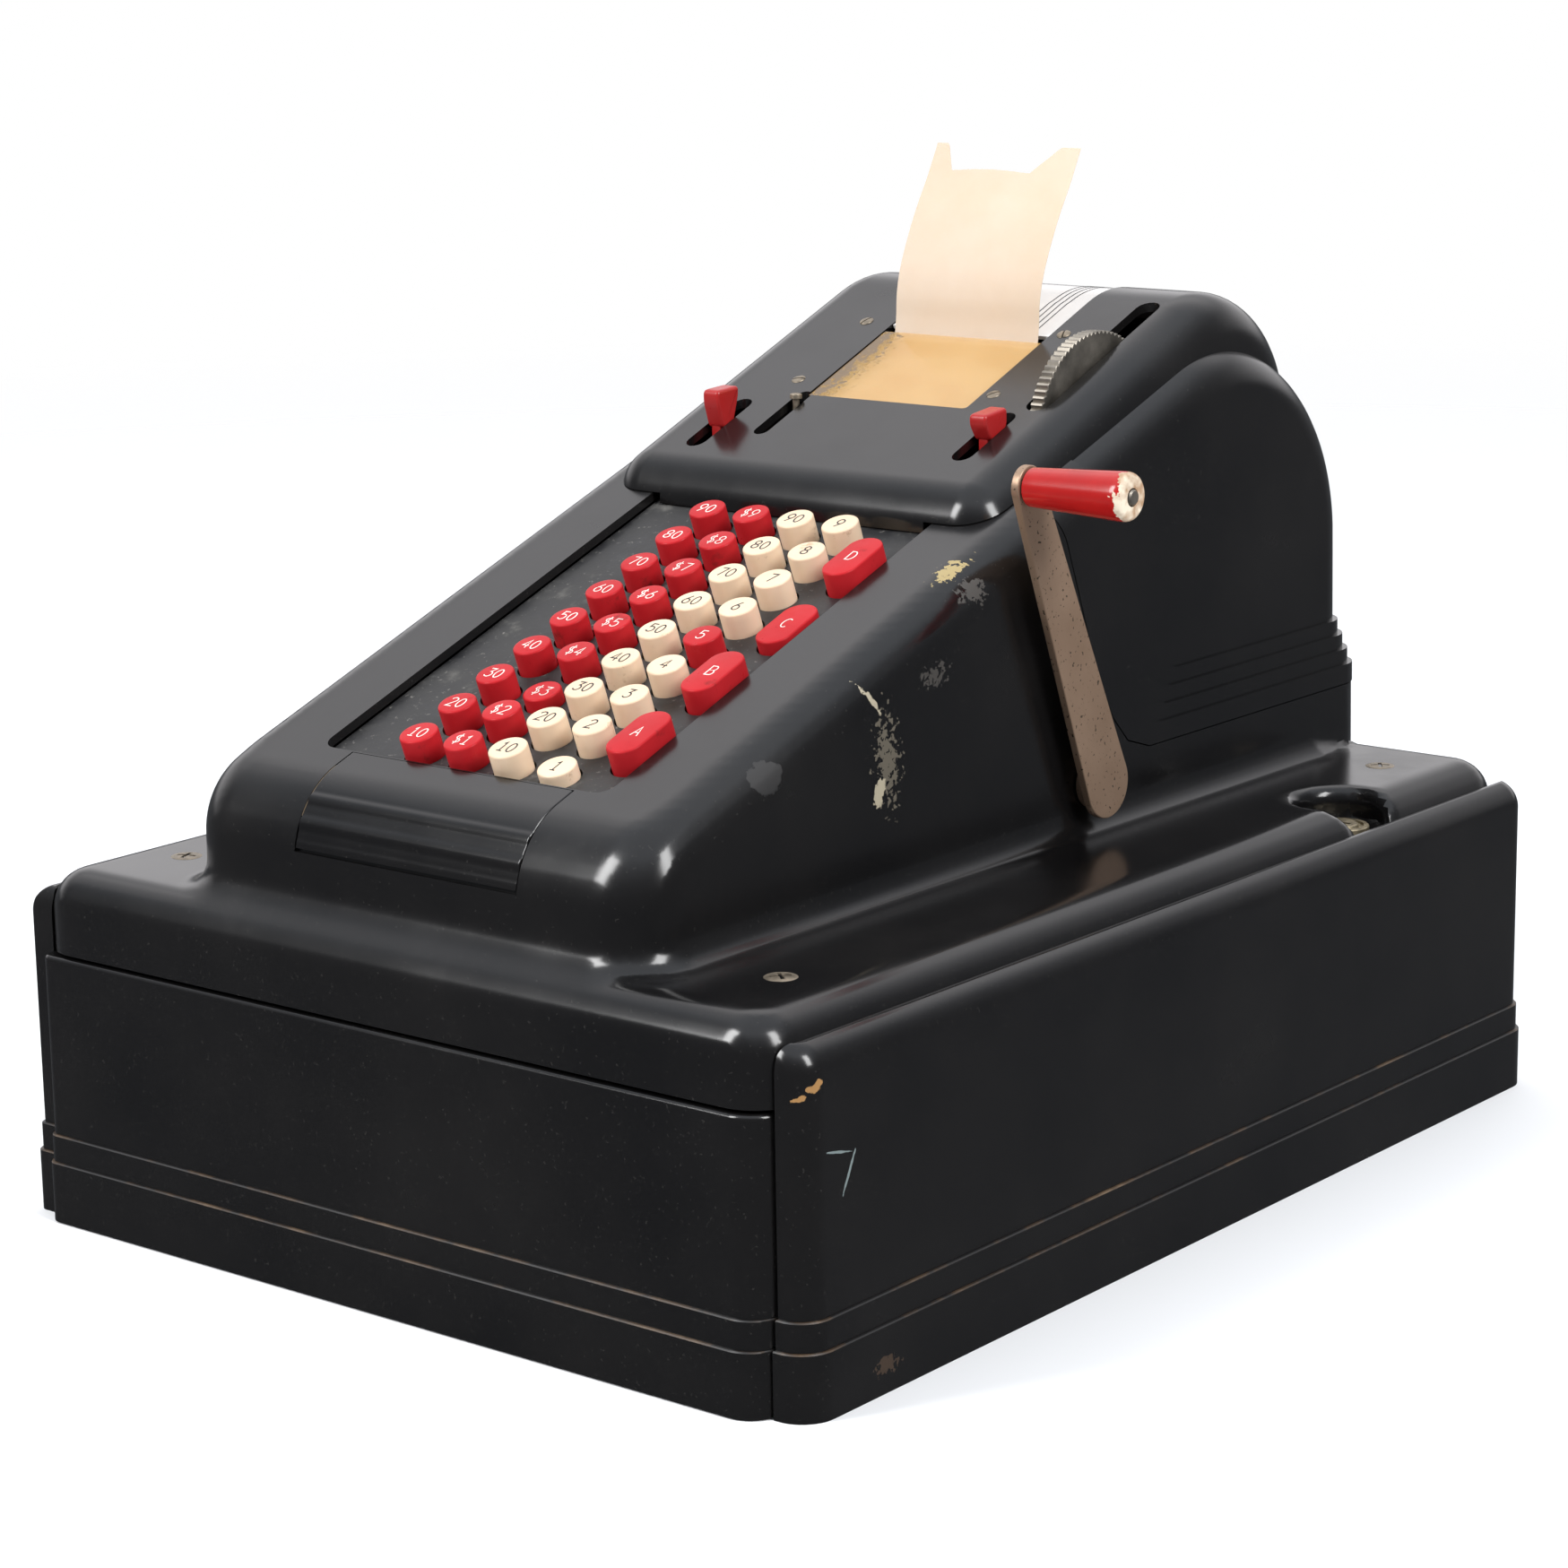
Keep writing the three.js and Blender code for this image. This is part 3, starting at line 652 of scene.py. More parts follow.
HOUSING_BLACK = enamel("housing_enamel", [
    ((86.0, 185.5, 217.0), (2.8, 7.0, 6.0), (0, 0, 0), PAINT, 1.3),
    ((94.0, 186.5, 211.5), (2.5, 5.0, 4.0), (0, 0, 0), SCUFF, 1.6),
    ((97.3, 162.0, 187.5), (6, 5.0, 3.2), (0, 0, 0), SCUFF, 1.6),
    ((95.3, 129.7, 185.3), (6, 1.0, 6.8), (36, 0, 0), TAPE, 0.7),
    ((97.3, 136.5, 165.0), (6, 4.8, 11.5), (4, 0, 0), TAPE_WORN, 1.5),
    ((97.3, 131.8, 155.5), (6, 2.8, 4.8), (-20, 0, 0), TAPE, 0.45),
    ((95.5, 78.5, 170.0), (6, 7.5, 5.5), (0, 0, 0), TAPE_FILM, 0.2),
])
WORN = worn_enamel()
PLATE = dusty_plate()
RED = key_plastic("red_keys", (0.51, 0.018, 0.024), (0.13, 0.014, 0.012), 0.60, 0.12)
CREAM = key_plastic("cream_keys", (0.90, 0.68, 0.48), (0.34, 0.16, 0.06), 0.62, 0.25)
LEVER_RED = key_plastic("lever_red", (0.42, 0.014, 0.014), (0.12, 0.01, 0.01), 0.66)
LEGEND_WHITE = plain("legend_white", (0.80, 0.72, 0.66), 0.6)
LEGEND_BLACK = plain("legend_black", (0.02, 0.02, 0.022), 0.5)
NICKEL = pitted_nickel()
STEEL = plain("aged_steel", (0.26, 0.235, 0.20), 0.42, 0.85, 0.35, 90, 0.15)
BRASS = plain("aged_brass", (0.34, 0.285, 0.19), 0.4, 0.8, 0.45, 300, 0.2)
SCREW = plain("screw_metal", (0.27, 0.225, 0.17), 0.45, 0.7, 0.45, 300, 0.2)
CHIPPED = chipped_red()
PAPER_SHEET = paper_look()
AMBER = amber_film()
RUBBER = plain("platen_rubber", (0.02, 0.02, 0.02), 0.6)
TRAY = plain("tray_metal", (0.07, 0.07, 0.075), 0.45, 0.3)
CLEAR_PLATE = plain("tear_plate", (0.82, 0.80, 0.77), 0.12, 0.0, 0.03)
GRIME = plain("old_dirt", (0.10, 0.07, 0.04), 0.8, 0.0, 0.5, 300)


def finish_piece(obj, body, material=None, nodes=(), angle=28.0, weighted=True):
    """Shading, material, body, and the CAD nodes that a piece stands for."""
    if material:
        obj.data.materials.clear()
        obj.data.materials.append(material)
    if obj.type == "MESH":
        crisp(obj, angle, weighted)
    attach(obj, body)
    if nodes:
        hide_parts(*nodes)
    return obj


# ---- base: side panels, drawer front and rear wall share the plinth's two ledges ----
LEDGES = (21.2, 30.5)
LEDGE_PROUD = 1.1
LEDGE_LIP = 0.4


def wall_levels(z0, z1, top_round, steps=8):
    """From the foot up: height, set-back of the wall, and how far its edge is rounded off."""
    levels = [(z0, 0.0, 0.0)]
    inset = 0.0
    for ledge in LEDGES:
        levels += [(ledge - LEDGE_LIP, inset, 0), (ledge, inset + LEDGE_LIP, 0)]
        inset += LEDGE_PROUD
        levels.append((ledge + 0.05, inset, 0))
    for i in range(steps + 1):
        a = math.radians(90 * i / steps)
        levels.append((z1 - top_round * (1 - math.sin(a)), inset, top_round * (1 - math.cos(a))))
    return levels


def mark_ledges(obj):
    """The narrow bevelled rims of the two ledges get the worn finish."""
    for polygon in obj.data.polygons:
        heights = [obj.data.vertices[v].co.z * 1000 for v in polygon.vertices]
        for ledge in LEDGES:
            if min(heights) > ledge - LEDGE_LIP - 0.02 and max(heights) < ledge + 0.06:
                polygon.material_index = 1


def wall_piece(obj, body, material, nodes=()):
    finish_piece(obj, body, material, nodes)
    obj.data.materials.append(WORN)
    mark_ledges(obj)
    return obj


def corner_reach(y, half, y0, radius):
    """How far out a rounded corner has come at depth y."""
    return half - radius + math.sqrt(max(radius**2 - max(y0 + radius - y, 0) ** 2, 0))


def panel_inner(y, drawer_corner):
    """A side panel's inner face clears the corners of the drawer front and of the cover."""
    gap = PANEL_GAP
    drawer = corner_reach(y, DRAWER_HALF + gap, -gap, drawer_corner + gap)
    cover = corner_reach(y, COVER_HALF + gap, COVER_FRONT - gap, COVER_CORNER + gap)
    return max(drawer, cover)


def side_panel(side, sign, corner, drawer_corner, material):
    """A wall with its plan corners rounded and its top rolled over, outwards and a little inwards."""
    straight = COVER_FRONT + COVER_CORNER
    levels = wall_levels(0.0, PANEL_TOP, PANEL_ROUND, 24)
    loops = []
    for z, inset, edge in [level for level in levels if level[0] < PANEL_CUT]:
        over = min(max((z - PANEL_INNER_TOP + PANEL_INNER_ROUND) / PANEL_INNER_ROUND, 0), 1)
        roll = PANEL_INNER_ROUND * (1 - math.sqrt(1 - over**2))
        radius = max(corner - inset - edge * 0.5, PANEL_CORNER_LEAST)
        cx = BASE_HALF - inset - edge - radius
        plan = []
        for y0, flip in ((PANEL_SET_BACK, False), (0.0, True)):
            cy = y0 + inset + edge * 0.6 + radius
            near = straight if flip else cy - radius
            inner = panel_inner(near, drawer_corner) + roll
            start = -math.degrees(math.acos(min(max((inner - cx) / radius, 0), 1)))
            end = arc(cx, cy, radius, start, 0, 14)
            if start <= -90:
                end[0] = (inner, end[0][1])
            plan += [(x, BASE_DEPTH - y) for x, y in end[::-1]] if flip else end
        first = plan[0][1]
        for i in range(8, 0, -1):
            y = first + (straight - first) * i / 8
            plan.append((panel_inner(y, drawer_corner) + roll, y))
        loops.append([(sign * x, y, z) for x, y in plan])
    obj = stack(f"side_panel_{side}_shell", loops)
    return wall_piece(obj, "base", material, [f"side_panel_{side}"])


def corner_points(half, corner, inset, edge, depth):
    """From the back of a wall's end round its corner to the front face."""
    radius = corner - edge
    cx, cy = half - corner, inset + corner
    turn = min(cy, depth - 0.5)
    start = math.degrees(math.asin((turn - cy) / radius))
    back = cx + math.sqrt(radius**2 - max(cy - depth, 0) ** 2)
    return [(back, depth)] + arc(cx, cy, radius, start, -90, 14)


def end_wall(name, half, depth, z0, corners, rear=False):
    """The drawer front, or the same wall turned round for the rear; corners are right then left."""
    loops = []
    for z, inset, edge in wall_levels(z0, WALL_TOP, WALL_TOP_ROUND, 5):
        right, left = (corner_points(half, corner, inset, edge, depth) for corner in corners)
        plan = right + [(-x, y) for x, y in left[::-1]]
        loops.append([(x, BASE_DEPTH + REAR_PROUD - y if rear else y, z) for x, y in plan])
    return stack(name, loops)


side_panel("right", 1, PANEL_CORNER_RIGHT, DRAWER_CORNER_RIGHT, PANEL_BLACK)
side_panel("left", -1, PANEL_CORNER_LEFT, DRAWER_CORNER_LEFT, BLACK)
drawer_corners = (DRAWER_CORNER_RIGHT, DRAWER_CORNER_LEFT)
drawer_wall = end_wall("drawer_front_panel", DRAWER_HALF, DRAWER_THICK, DRAWER_FOOT, drawer_corners)
wall_piece(drawer_wall, "drawer", BLACK, ["drawer_front"])
rear_corners = (REAR_WALL_CORNER, REAR_WALL_CORNER)
rear_wall = end_wall("cabinet_rear_wall", COVER_HALF, REAR_WALL_THICK, 0.0, rear_corners, rear=True)
wall_piece(rear_wall, "base", BLACK)


# ---- cover and keyboard housing: one moulding, with a cove where they meet ----
def rounded_plan(x, y, half, y0, y1, radius):
    """Distance from an upright prism with a rounded rectangular plan."""
    dx = np.abs(x) - (half - radius)
    dy = np.abs(y - (y0 + y1) / 2) - ((y1 - y0) / 2 - radius)
    return np.hypot(np.maximum(dx, 0), np.maximum(dy, 0)) + np.minimum(np.maximum(dx, dy), 0) - radius


HOUSING_CORNER, HOUSING_REAR_CORNER = 20.0, 16.0
BLEND = 30.0  # the top edge's rounding changes from the sides' to the nose's this close to the walls
# The round inner corner between housing and cover, which fades out towards the rear.
COVE, COVE_END, COVE_FADE = 9.0, 418.0, 30.0
# Radius, bottom and softened rim of the recess round the lock.
LOCK_WELL, LOCK_FLOOR, LOCK_RIM = 16.0, 109.0, 4.5


def body_field(x, y, z):
    """The keyboard housing alone: upright walls, a sloping top and a round nose."""
    side = np.abs(x) / (1 + TAPER * (TAPER_LEVEL - z)) - HOUSING_HALF
    front = NOSE - y
    bezel = (z - BEZEL_Z - (y - BEZEL_Y) * math.tan(SLOPE)) * math.cos(SLOPE)
    rear = REAR + HOOD_STEPS * HOOD_STEP
    walls = soft_max(soft_max(front, side, HOUSING_CORNER), y - rear, HOUSING_REAR_CORNER)
    forward = np.maximum(front + BLEND, 0)
    sideways_part = np.maximum(side + BLEND, 0)
    share = forward**2 / np.maximum(forward**2 + sideways_part**2, 1e-6)
    round_off = HOUSING_ROUND + (NOSE_ROUND - HOUSING_ROUND) * share
    return soft_max(walls, bezel, round_off, math.sin(SLOPE) * share)


def cover_field(x, y, z):
    plan = rounded_plan(x, y, COVER_HALF, COVER_FRONT, BASE_DEPTH - COVER_FRONT, COVER_CORNER)
    return soft_max(plan, z - COVER_TOP, COVER_ROUND)


MOULDING_LOW, MOULDING_HIGH = 88.0, 262.0  # the moulding before its foot and its hood room are cut


def housing_field(x, y, z):
    cove = COVE * np.clip((COVE_END - y) / COVE_FADE, 0.02, 1)
    whole = soft_min(body_field(x, y, z), cover_field(x, y, z), cove)
    pocket = np.maximum(np.hypot(x - LOCK_X, y - LOCK_Y) - LOCK_WELL, LOCK_FLOOR - z)
    hollowed = soft_max(whole, -pocket, LOCK_RIM)
    return np.maximum(np.maximum(hollowed, MOULDING_LOW - z), z - MOULDING_HIGH)


points, faces = skin(housing_field, (-159.5, 0.0, 84.0), (159.5, 432.0, 268.0), 2.2)
housing = make_object("housing_moulding", points, faces)
fix_normals(housing)
points, faces = skin(lambda x, y, z: housing_field(x, y, z) + WALL, (-162, -2, 78), (162, 434, 270), 6.0)
boolean(housing, make_object("inner", points, faces))
boolean(housing, block("under", -FAR, FAR, -20, 500, 60, COVER_BOTTOM))


def hood_region(shift, gap=0.0):
    """Everything behind the seam between housing and hood, moved back by shift and out by gap."""
    line = [(y + shift - gap, z + shift - gap) for y, z in SEAM]
    first = line[0][0] - 4
    outline = [(first, 340), (first, bezel_z(first))] + line + [(500, line[-1][1]), (500, 340)]
    return sideways("region", outline, -FAR, FAR)


def on_slope(s, lift):
    """A point on the keyboard, s up the slope from the first row and lift above the key tops."""
    return (
        KEY_Y + s * math.cos(SLOPE) - lift * math.sin(SLOPE),
        KEY_Z + s * math.sin(SLOPE) + lift * math.cos(SLOPE),
    )


boolean(housing, hood_region(0, SEAM_GAP))


def slope_place(obj):
    """Moves an object built round the first key's top onto the slope."""
    turn = Matrix.Rotation(SLOPE, 4, "X")
    place = Matrix.Translation(Vector(to_frame([(0, KEY_Y, KEY_Z)])[0]))
    obj.data.transform(place @ turn)


def local_solid(name, outline, low, high):
    """An outline (x, up the slope) with thickness, on the keyboard slope."""
    obj = standing(name, [(x, y - FRONT) for x, y in outline], low, high)
    slope_place(obj)
    return obj


def rounded_rect(x0, x1, y0, y1, radius, steps=6):
    return (
        arc(x1 - radius, y0 + radius, radius, -90, 0, steps)
        + arc(x1 - radius, y1 - radius, radius, 0, 90, steps)
        + arc(x0 + radius, y1 - radius, radius, 90, 180, steps)
        + arc(x0 + radius, y0 + radius, radius, 180, 270, steps)
    )


boolean(housing, local_solid("recess", rounded_rect(*RECESS, -9, 185, 5.5), -20, 15))
seat = (
    [on_slope(-9.5, -6.4), on_slope(-9.5, 12), (2, 178), (2, NOSE_Z + 4)]
    + [(NOSE + 1.6, NOSE_Z + 4)]
    + arc(NOSE + NOSE_ROUND, NOSE_Z, NOSE_ROUND - 1.5, 172, 112, 14)
)
boolean(housing, sideways("nameplate_seat", seat, -46, 48.5))
boolean(housing, turned("shaft_hole", [(5.8, 0), (5.8, 30)], (85, PIVOT_Y, PIVOT_Z), (1, 0, 0), 32))
boolean(housing, turned("lock_hole", [(10.5, 0), (10.5, 30)], (LOCK_X, LOCK_Y, 90), (0, 0, 1), 40))
finish_piece(housing, "base", HOUSING_BLACK, ["lower_housing"])


# ---- hood: a stepped shell with a flat-topped slab on it ----
def lean(obj):
    """Gives a hood piece the same moulding draft as the housing."""
    for vertex in obj.data.vertices:
        vertex.co.x *= 1 + TAPER * (TAPER_LEVEL - vertex.co.z * 1000)
    return obj


def body_outline(proud=0.0, wall=0.0):
    rear = [(REAR + proud - wall, 190), (REAR + proud - wall, 70)]
    top = arc(REAR - REAR_ROUND, REAR_Z, REAR_ROUND - wall, 110, 3, 40)
    front = arc(NOSE + NOSE_ROUND, NOSE_Z, NOSE_ROUND - wall, 180, 110, 10)
    return [(NOSE + wall, 70)] + front + top + rear


def rib_body(step, steps=12):
    proud = (HOOD_STEPS - step) * HOOD_STEP
    half = HOUSING_HALF - step * HOOD_STEP
    body = sideways("rib_body", body_outline(proud), -half, half, (HOUSING_ROUND, HOUSING_ROUND), steps)
    return lean(body)


hood = rib_body(0)
boolean(hood, hood_region(0), "INTERSECT")
for step in range(1, HOOD_STEPS + 1):
    behind = hood_region(RIB_FIRST + step * RIB_PITCH)
    boolean(behind, rib_body(step))
    boolean(hood, behind)

SLAB_Z = hood_z(HOOD_FRONT) - SLAB_FRONT_ROUND * math.tan(math.radians(34))


def slab_outline(wall=0.0):
    front = arc(HOOD_FRONT + SLAB_FRONT_ROUND, SLAB_Z, SLAB_FRONT_ROUND - wall, 180, 112, 12)
    rear = arc(SLAB_REAR_Y, SLAB_REAR_Z, SLAB_REAR_ROUND - wall, 112, 0, 26)
    foot = 150 + wall
    return [(HOOD_FRONT + wall, foot)] + front + rear + [(SLAB_REAR_Y + SLAB_REAR_ROUND - wall, foot)]


def slab_body(name, wall=0.0):
    half = HOOD_HALF - wall
    rounds = (HOOD_ROUND - wall, HOOD_ROUND - wall)
    return lean(sideways(name, slab_outline(wall), -half, half, rounds, 14))


slab = slab_body("slab")


def over_bezel(lift):
    """What lies above the bezel's plane, in front of the hood's window."""
    return [(150, bezel_z(150) + lift), (240, bezel_z(240) + lift), (240, 400), (150, 400)]


slab_front = sideways("above_bezel", over_bezel(SEAM_GAP), -FAR, FAR)
boolean(slab_front, hood_region(0), "UNION")
boolean(slab, slab_front, "INTERSECT")
boolean(hood, slab, "UNION")
inner_half = HOUSING_HALF - HOOD_STEPS * HOOD_STEP - WALL
inner = sideways("inside", body_outline(0, WALL), -inner_half, inner_half, (12, 12), 6)
boolean(inner, slab_body("slab_inside", WALL), "UNION")
boolean(hood, inner)
skirt = block("skirt", -57, 57, HOOD_FRONT, HOOD_FRONT + WALL, 200, 262)
boolean(skirt, sideways("skirt_room", over_bezel(-3.2), -60, 60), "INTERSECT")
boolean(skirt, slab_body("slab_again"), "INTERSECT")
boolean(hood, skirt, "UNION")


def hood_slot(x, y0, y1, width):
    """A slot with round ends, cut straight down."""
    r = width / 2 - 0.01
    return standing("slot", arc(x, y0 + r, r, 180, 360, 8) + arc(x, y1 - r, r, 0, 180, 8), 225, 300)


for x, y0, y1, width in ((-55, 224, 256, 8), (-34, 235, 264, 6), (55, 231, 262, 8), (62, 264.3, 338, 9)):
    boolean(hood, hood_slot(x, y0, y1, width))
boolean(hood, standing("window_hole", rounded_rect(*WINDOW, 262, 383, 1.6, 3), 232, 300))
hood.name = "hood_shell"
finish_piece(hood, "base", BLACK, ["upper_hood"])


# ---- nameplate: a flat band above and raised ribs below, with no lettering ----
def nameplate_outline(lift, ribs=True):
    """Follows the nose. Angles run from the slope down to the front face."""
    outer = []
    for i in range(57):
        angle = 110 + i * 60 / 56
        height = lift
        if ribs and 134 < angle < 166:
            height += 0.45 * max(math.sin((angle - 134) * math.pi / 8.0), -0.35)
        outer.append((
            NOSE + NOSE_ROUND + (NOSE_ROUND + height) * math.cos(math.radians(angle)),
            NOSE_Z + (NOSE_ROUND + height) * math.sin(math.radians(angle)),
        ))
    return outer


plate_under = arc(NOSE + NOSE_ROUND, NOSE_Z, NOSE_ROUND - 1, 170, 111, 20)
plate_tail = [on_slope(-9.9, -KEY_RISE - 1.1), on_slope(-9.9, -KEY_RISE + 0.1)]
plate_side = plate_tail + nameplate_outline(0.1) + plate_under
nameplate = sideways("nameplate_band", plate_side, -45.6, 48.1, (0.5, 0.5), 3)
finish_piece(nameplate, "base", BLACK, ["nameplate"])
dust_line = block("plate_seam_dirt", -46.0, -45.65, 18.2, 44, 150, 169)
under_seam = sideways("seam_room", nameplate_outline(-0.2, False) + [(60, 150)], -47, -44)
boolean(dust_line, under_seam, "INTERSECT")
finish_piece(dust_line, "base", GRIME)

# ---- key plate and its holes ----
FRAME_LIFT = -KEY_RISE - PLATE_DROP


def stadium(x, s, radius, straight, steps=20):
    upper = arc(x, s + straight, radius, 0, 180, steps)
    return upper + arc(x, s - straight, radius, 180, 360, steps)


COLUMNS, ROWS = 4, 9
OVALS = (1, 3, 5, 7)
OVAL_X = KEY_X + 4 * PITCH
OVAL_HALF = 6.35
LATCHED = {"key_c1_r2", "key_c3_r0", "key_oval_c"}

plate_outline = rounded_rect(-60.2, 60.0, -8.6, 172, 5)
key_plate = local_solid("key_plate_sheet", plate_outline, FRAME_LIFT - 1.6, FRAME_LIFT)
for r in range(ROWS):
    for c in range(COLUMNS):
        hole = arc(KEY_X + c * PITCH, r * PITCH, KEY_RADIUS + 0.7, 0, 351, 39)
        boolean(key_plate, local_solid("hole", hole, FRAME_LIFT - 4, FRAME_LIFT + 4))
for r in OVALS:
    slot_outline = stadium(OVAL_X, r * PITCH, KEY_RADIUS + 0.7, OVAL_HALF, 12)
    boolean(key_plate, local_solid("hole", slot_outline, FRAME_LIFT - 4, FRAME_LIFT + 4))
finish_piece(key_plate, "base", PLATE, ["key_plate"])


# ---- legends: strokes on a grid 2 wide and 4 high, each stroke a run of points ----
def bow(cx, cy, rx, ry, start, end, steps=10):
    turns = np.radians(np.linspace(start, end, steps + 1))
    return [(cx + rx * math.cos(a), cy + ry * math.sin(a)) for a in turns]


STROKES = {
    "0": [bow(1, 2, 1, 2, 0, 360, 20)],
    "1": [[(0.4, 3.3), (1.1, 4), (1.1, 0)], [(0.3, 0), (1.9, 0)]],
    "2": [bow(1, 3, 1, 1, 170, -35, 10) + [(0, 0), (2, 0)]],
    "3": [[(0.1, 4), (1.9, 4), (0.9, 2.5)] + bow(0.9, 1.25, 1.1, 1.25, 85, -150, 10)],
    "4": [[(1.5, 0), (1.5, 4), (0, 1.2), (2.1, 1.2)]],
    "5": [[(1.9, 4), (0.3, 4), (0.15, 2.4)] + bow(0.9, 1.35, 1.1, 1.3, 115, -150, 10)],
    "6": [[(1.7, 4), (0.4, 2.2)] + bow(1, 1.2, 1, 1.2, 140, 500, 16)],
    "7": [[(0, 4), (2, 4), (0.7, 0)]],
    "8": [bow(1, 3, 0.85, 1, 0, 360, 16), bow(1, 1, 1, 1, 0, 360, 16)],
    "9": [[(0.3, 0), (1.6, 1.8)] + bow(1, 2.8, 1, 1.2, -40, 320, 16)],
    "$": [bow(1, 2.85, 0.9, 0.85, 40, 250, 8) + bow(1, 1.15, 0.9, 0.85, 70, -140, 8), [(1, 4.5), (1, -0.5)]],
    "A": [[(0, 0), (1, 4), (2, 0)], [(0.4, 1.4), (1.6, 1.4)]],
    "B": [[(0, 2.1), (1.3, 2.1)] + bow(1.2, 3.05, 0.7, 0.95, -85, 90, 8) + [(0, 4), (0, 0)]
          + bow(1.2, 1.05, 0.8, 1.05, -90, 85, 8)],
    "C": [bow(1.1, 2, 1.1, 2, 50, 310, 16)],
    "D": [[(0, 4), (0, 0)] + bow(0.9, 2, 1.1, 2, -85, 85, 14) + [(0, 4)]],
}
LEGEND_DEPTH = 0.12
LEGEND_SINK = 0.06


def legend(text, x, s, top, height, stroke, material):
    """The text as thin raised strips on a key top, a ribbon for each stroke."""
    size = height / 4
    pitch = 2.9 * size
    start = x - (len(text) * pitch - 0.9 * size) / 2
    pieces = []
    for number, letter in enumerate(text):
        for line in STROKES[letter]:
            path = [(start + number * pitch + a * size, s + (b - 2) * size) for a, b in line]
            pieces.append(ribbon(path, stroke / 2, top))
    result = join_objects("legend", pieces)
    result.data.materials.append(material)
    return result


def ribbon(path, half, top):
    """A closed strip of constant width along a run of points, standing a hair proud of a key top."""
    count = len(path)
    closed = math.dist(path[0], path[-1]) < 1e-6
    left, right = [], []
    for i in range(count):
        before = path[i - 1] if i else (path[-2] if closed else path[0])
        after = path[i + 1] if i < count - 1 else (path[1] if closed else path[-1])
        here = Vector(path[i])
        into = (here - Vector(before)) if i or closed else (Vector(after) - here)
        away = (Vector(after) - here) if i < count - 1 or closed else into
        into, away = into.normalized(), away.normalized()
        across = Vector((-into.y - away.y, into.x + away.x))
        across = across / max(1 + into.dot(away), 0.35)
        left.append(here + across * half)
        right.append(here - across * half)
    loops = []
    for a, b in zip(left, right):
        low, high = top - LEGEND_SINK, top + LEGEND_DEPTH - LEGEND_SINK
        loops.append([(a.x, a.y - FRONT, low), (b.x, b.y - FRONT, low), (b.x, b.y - FRONT, high),
                      (a.x, a.y - FRONT, high)])
    return stack("ribbon", loops)


# ---- keys: caps with a softened rim and a legend that stands a hair proud ----
CAP_HEIGHT = 13.0


def key_cap(name, x, s, half_straight, down):
    if half_straight:
        outline = stadium(x, s, KEY_RADIUS, half_straight, 18)
    else:
        outline = arc(x, s, KEY_RADIUS, 0, 350, 35)
    return standing(name, [(a, b - FRONT) for a, b in outline], -CAP_HEIGHT - down, -down, (0, 0.7), 4)


def key_stem(x, s, down, oval):
    half = (1.5, 6.0) if oval else (1.5, 1.5)
    outline = [(x - half[0], s - half[1]), (x + half[0], s - half[1]), (x + half[0], s + half[1]),
               (x - half[0], s + half[1])]
    bottom = -26 - down
    return standing("stem", [(a, b - FRONT) for a, b in outline], bottom, -CAP_HEIGHT - down + 0.01)


def make_key(name, x, s, text, cap_material, ink, oval=False):
    down = KEY_LATCH if name in LATCHED else 0.0
    half = OVAL_HALF if oval else 0.0
    cap = key_cap(name + "_cap", x, s, half, down)
    cap.data.materials.append(cap_material)
    stem = key_stem(x, s, down, oval)
    stem.data.materials.append(STEEL)
    height = 5.2 if oval else 4.9
    stroke = 0.42 if ink is LEGEND_WHITE else 0.5
    mark = legend(text, x, s, -down, height, stroke, ink)
    whole = join_objects(name + "_cap", [cap, stem, mark])
    slope_place(whole)
    return finish_piece(whole, name, None, [name], 40, False)


for c in range(COLUMNS):
    for r in range(ROWS):
        digit = str(r + 1)
        text = (digit + "0", "$" + digit, digit + "0", digit)[c]
        red = c < 2 or (c == 3 and r == 4)
        make_key(f"key_c{c}_r{r}", KEY_X + c * PITCH, r * PITCH, text, RED if red else CREAM,
                 LEGEND_WHITE if red else LEGEND_BLACK)
for i, r in enumerate(OVALS):
    make_key("key_oval_" + "abcd"[i], OVAL_X, r * PITCH, "ABCD"[i], RED, LEGEND_WHITE, True)


# ---- crank: arm, shaft and hub, red grip on its pin ----
lean_angle = math.degrees(math.atan2(GRIP_Z - PIVOT_Z, GRIP_Y - PIVOT_Y))
arm_outline = (
    arc(GRIP_Y, GRIP_Z, 7, lean_angle - 88, lean_angle + 88, 24)
    + arc(PIVOT_Y, PIVOT_Z, 11.5, lean_angle + 92, lean_angle + 268, 32)
)
arm = sideways("arm_plate", arm_outline, ARM_X, ARM_X + ARM_THICK, (0.5, 0.5), 3)
arm.data.materials.append(NICKEL)


def shaft(profile, y, z, material, sides=40):
    obj = turned("shaft", profile, (0, y, z), (1, 0, 0), sides)
    obj.data.materials.append(material)
    return obj


arm_parts = [
    arm,
    shaft([(4.6, 62), (5, 62.4), (5, 99)], PIVOT_Y, PIVOT_Z, STEEL),
    shaft([(8, 98.2), (8.5, 98.7), (8.5, 103.2)], PIVOT_Y, PIVOT_Z, NICKEL),
    shaft([(2.6, 104), (2.6, 145.4), (2.1, 146)], GRIP_Y, GRIP_Z, STEEL, 28),
]
finish_piece(join_objects("crank_arm_and_shaft", arm_parts), "crank", None, ["crank_arm"], 30)

GRIP_X = ARM_X + ARM_THICK
grip_profile = (
    [(3.0, 0.6), (5.9, 0.6), (6.25, 0.75), (6.4, 1.1)]
    + [(6.4 + 1.6 * t / 8, 1.1 + 34.0 * t / 8) for t in range(1, 9)]
    + [(7.98, 36.6), (7.8, 37.7), (7.4, 38.5), (6.8, 39.05), (6.0, 39.2), (3.0, 39.2)]
)


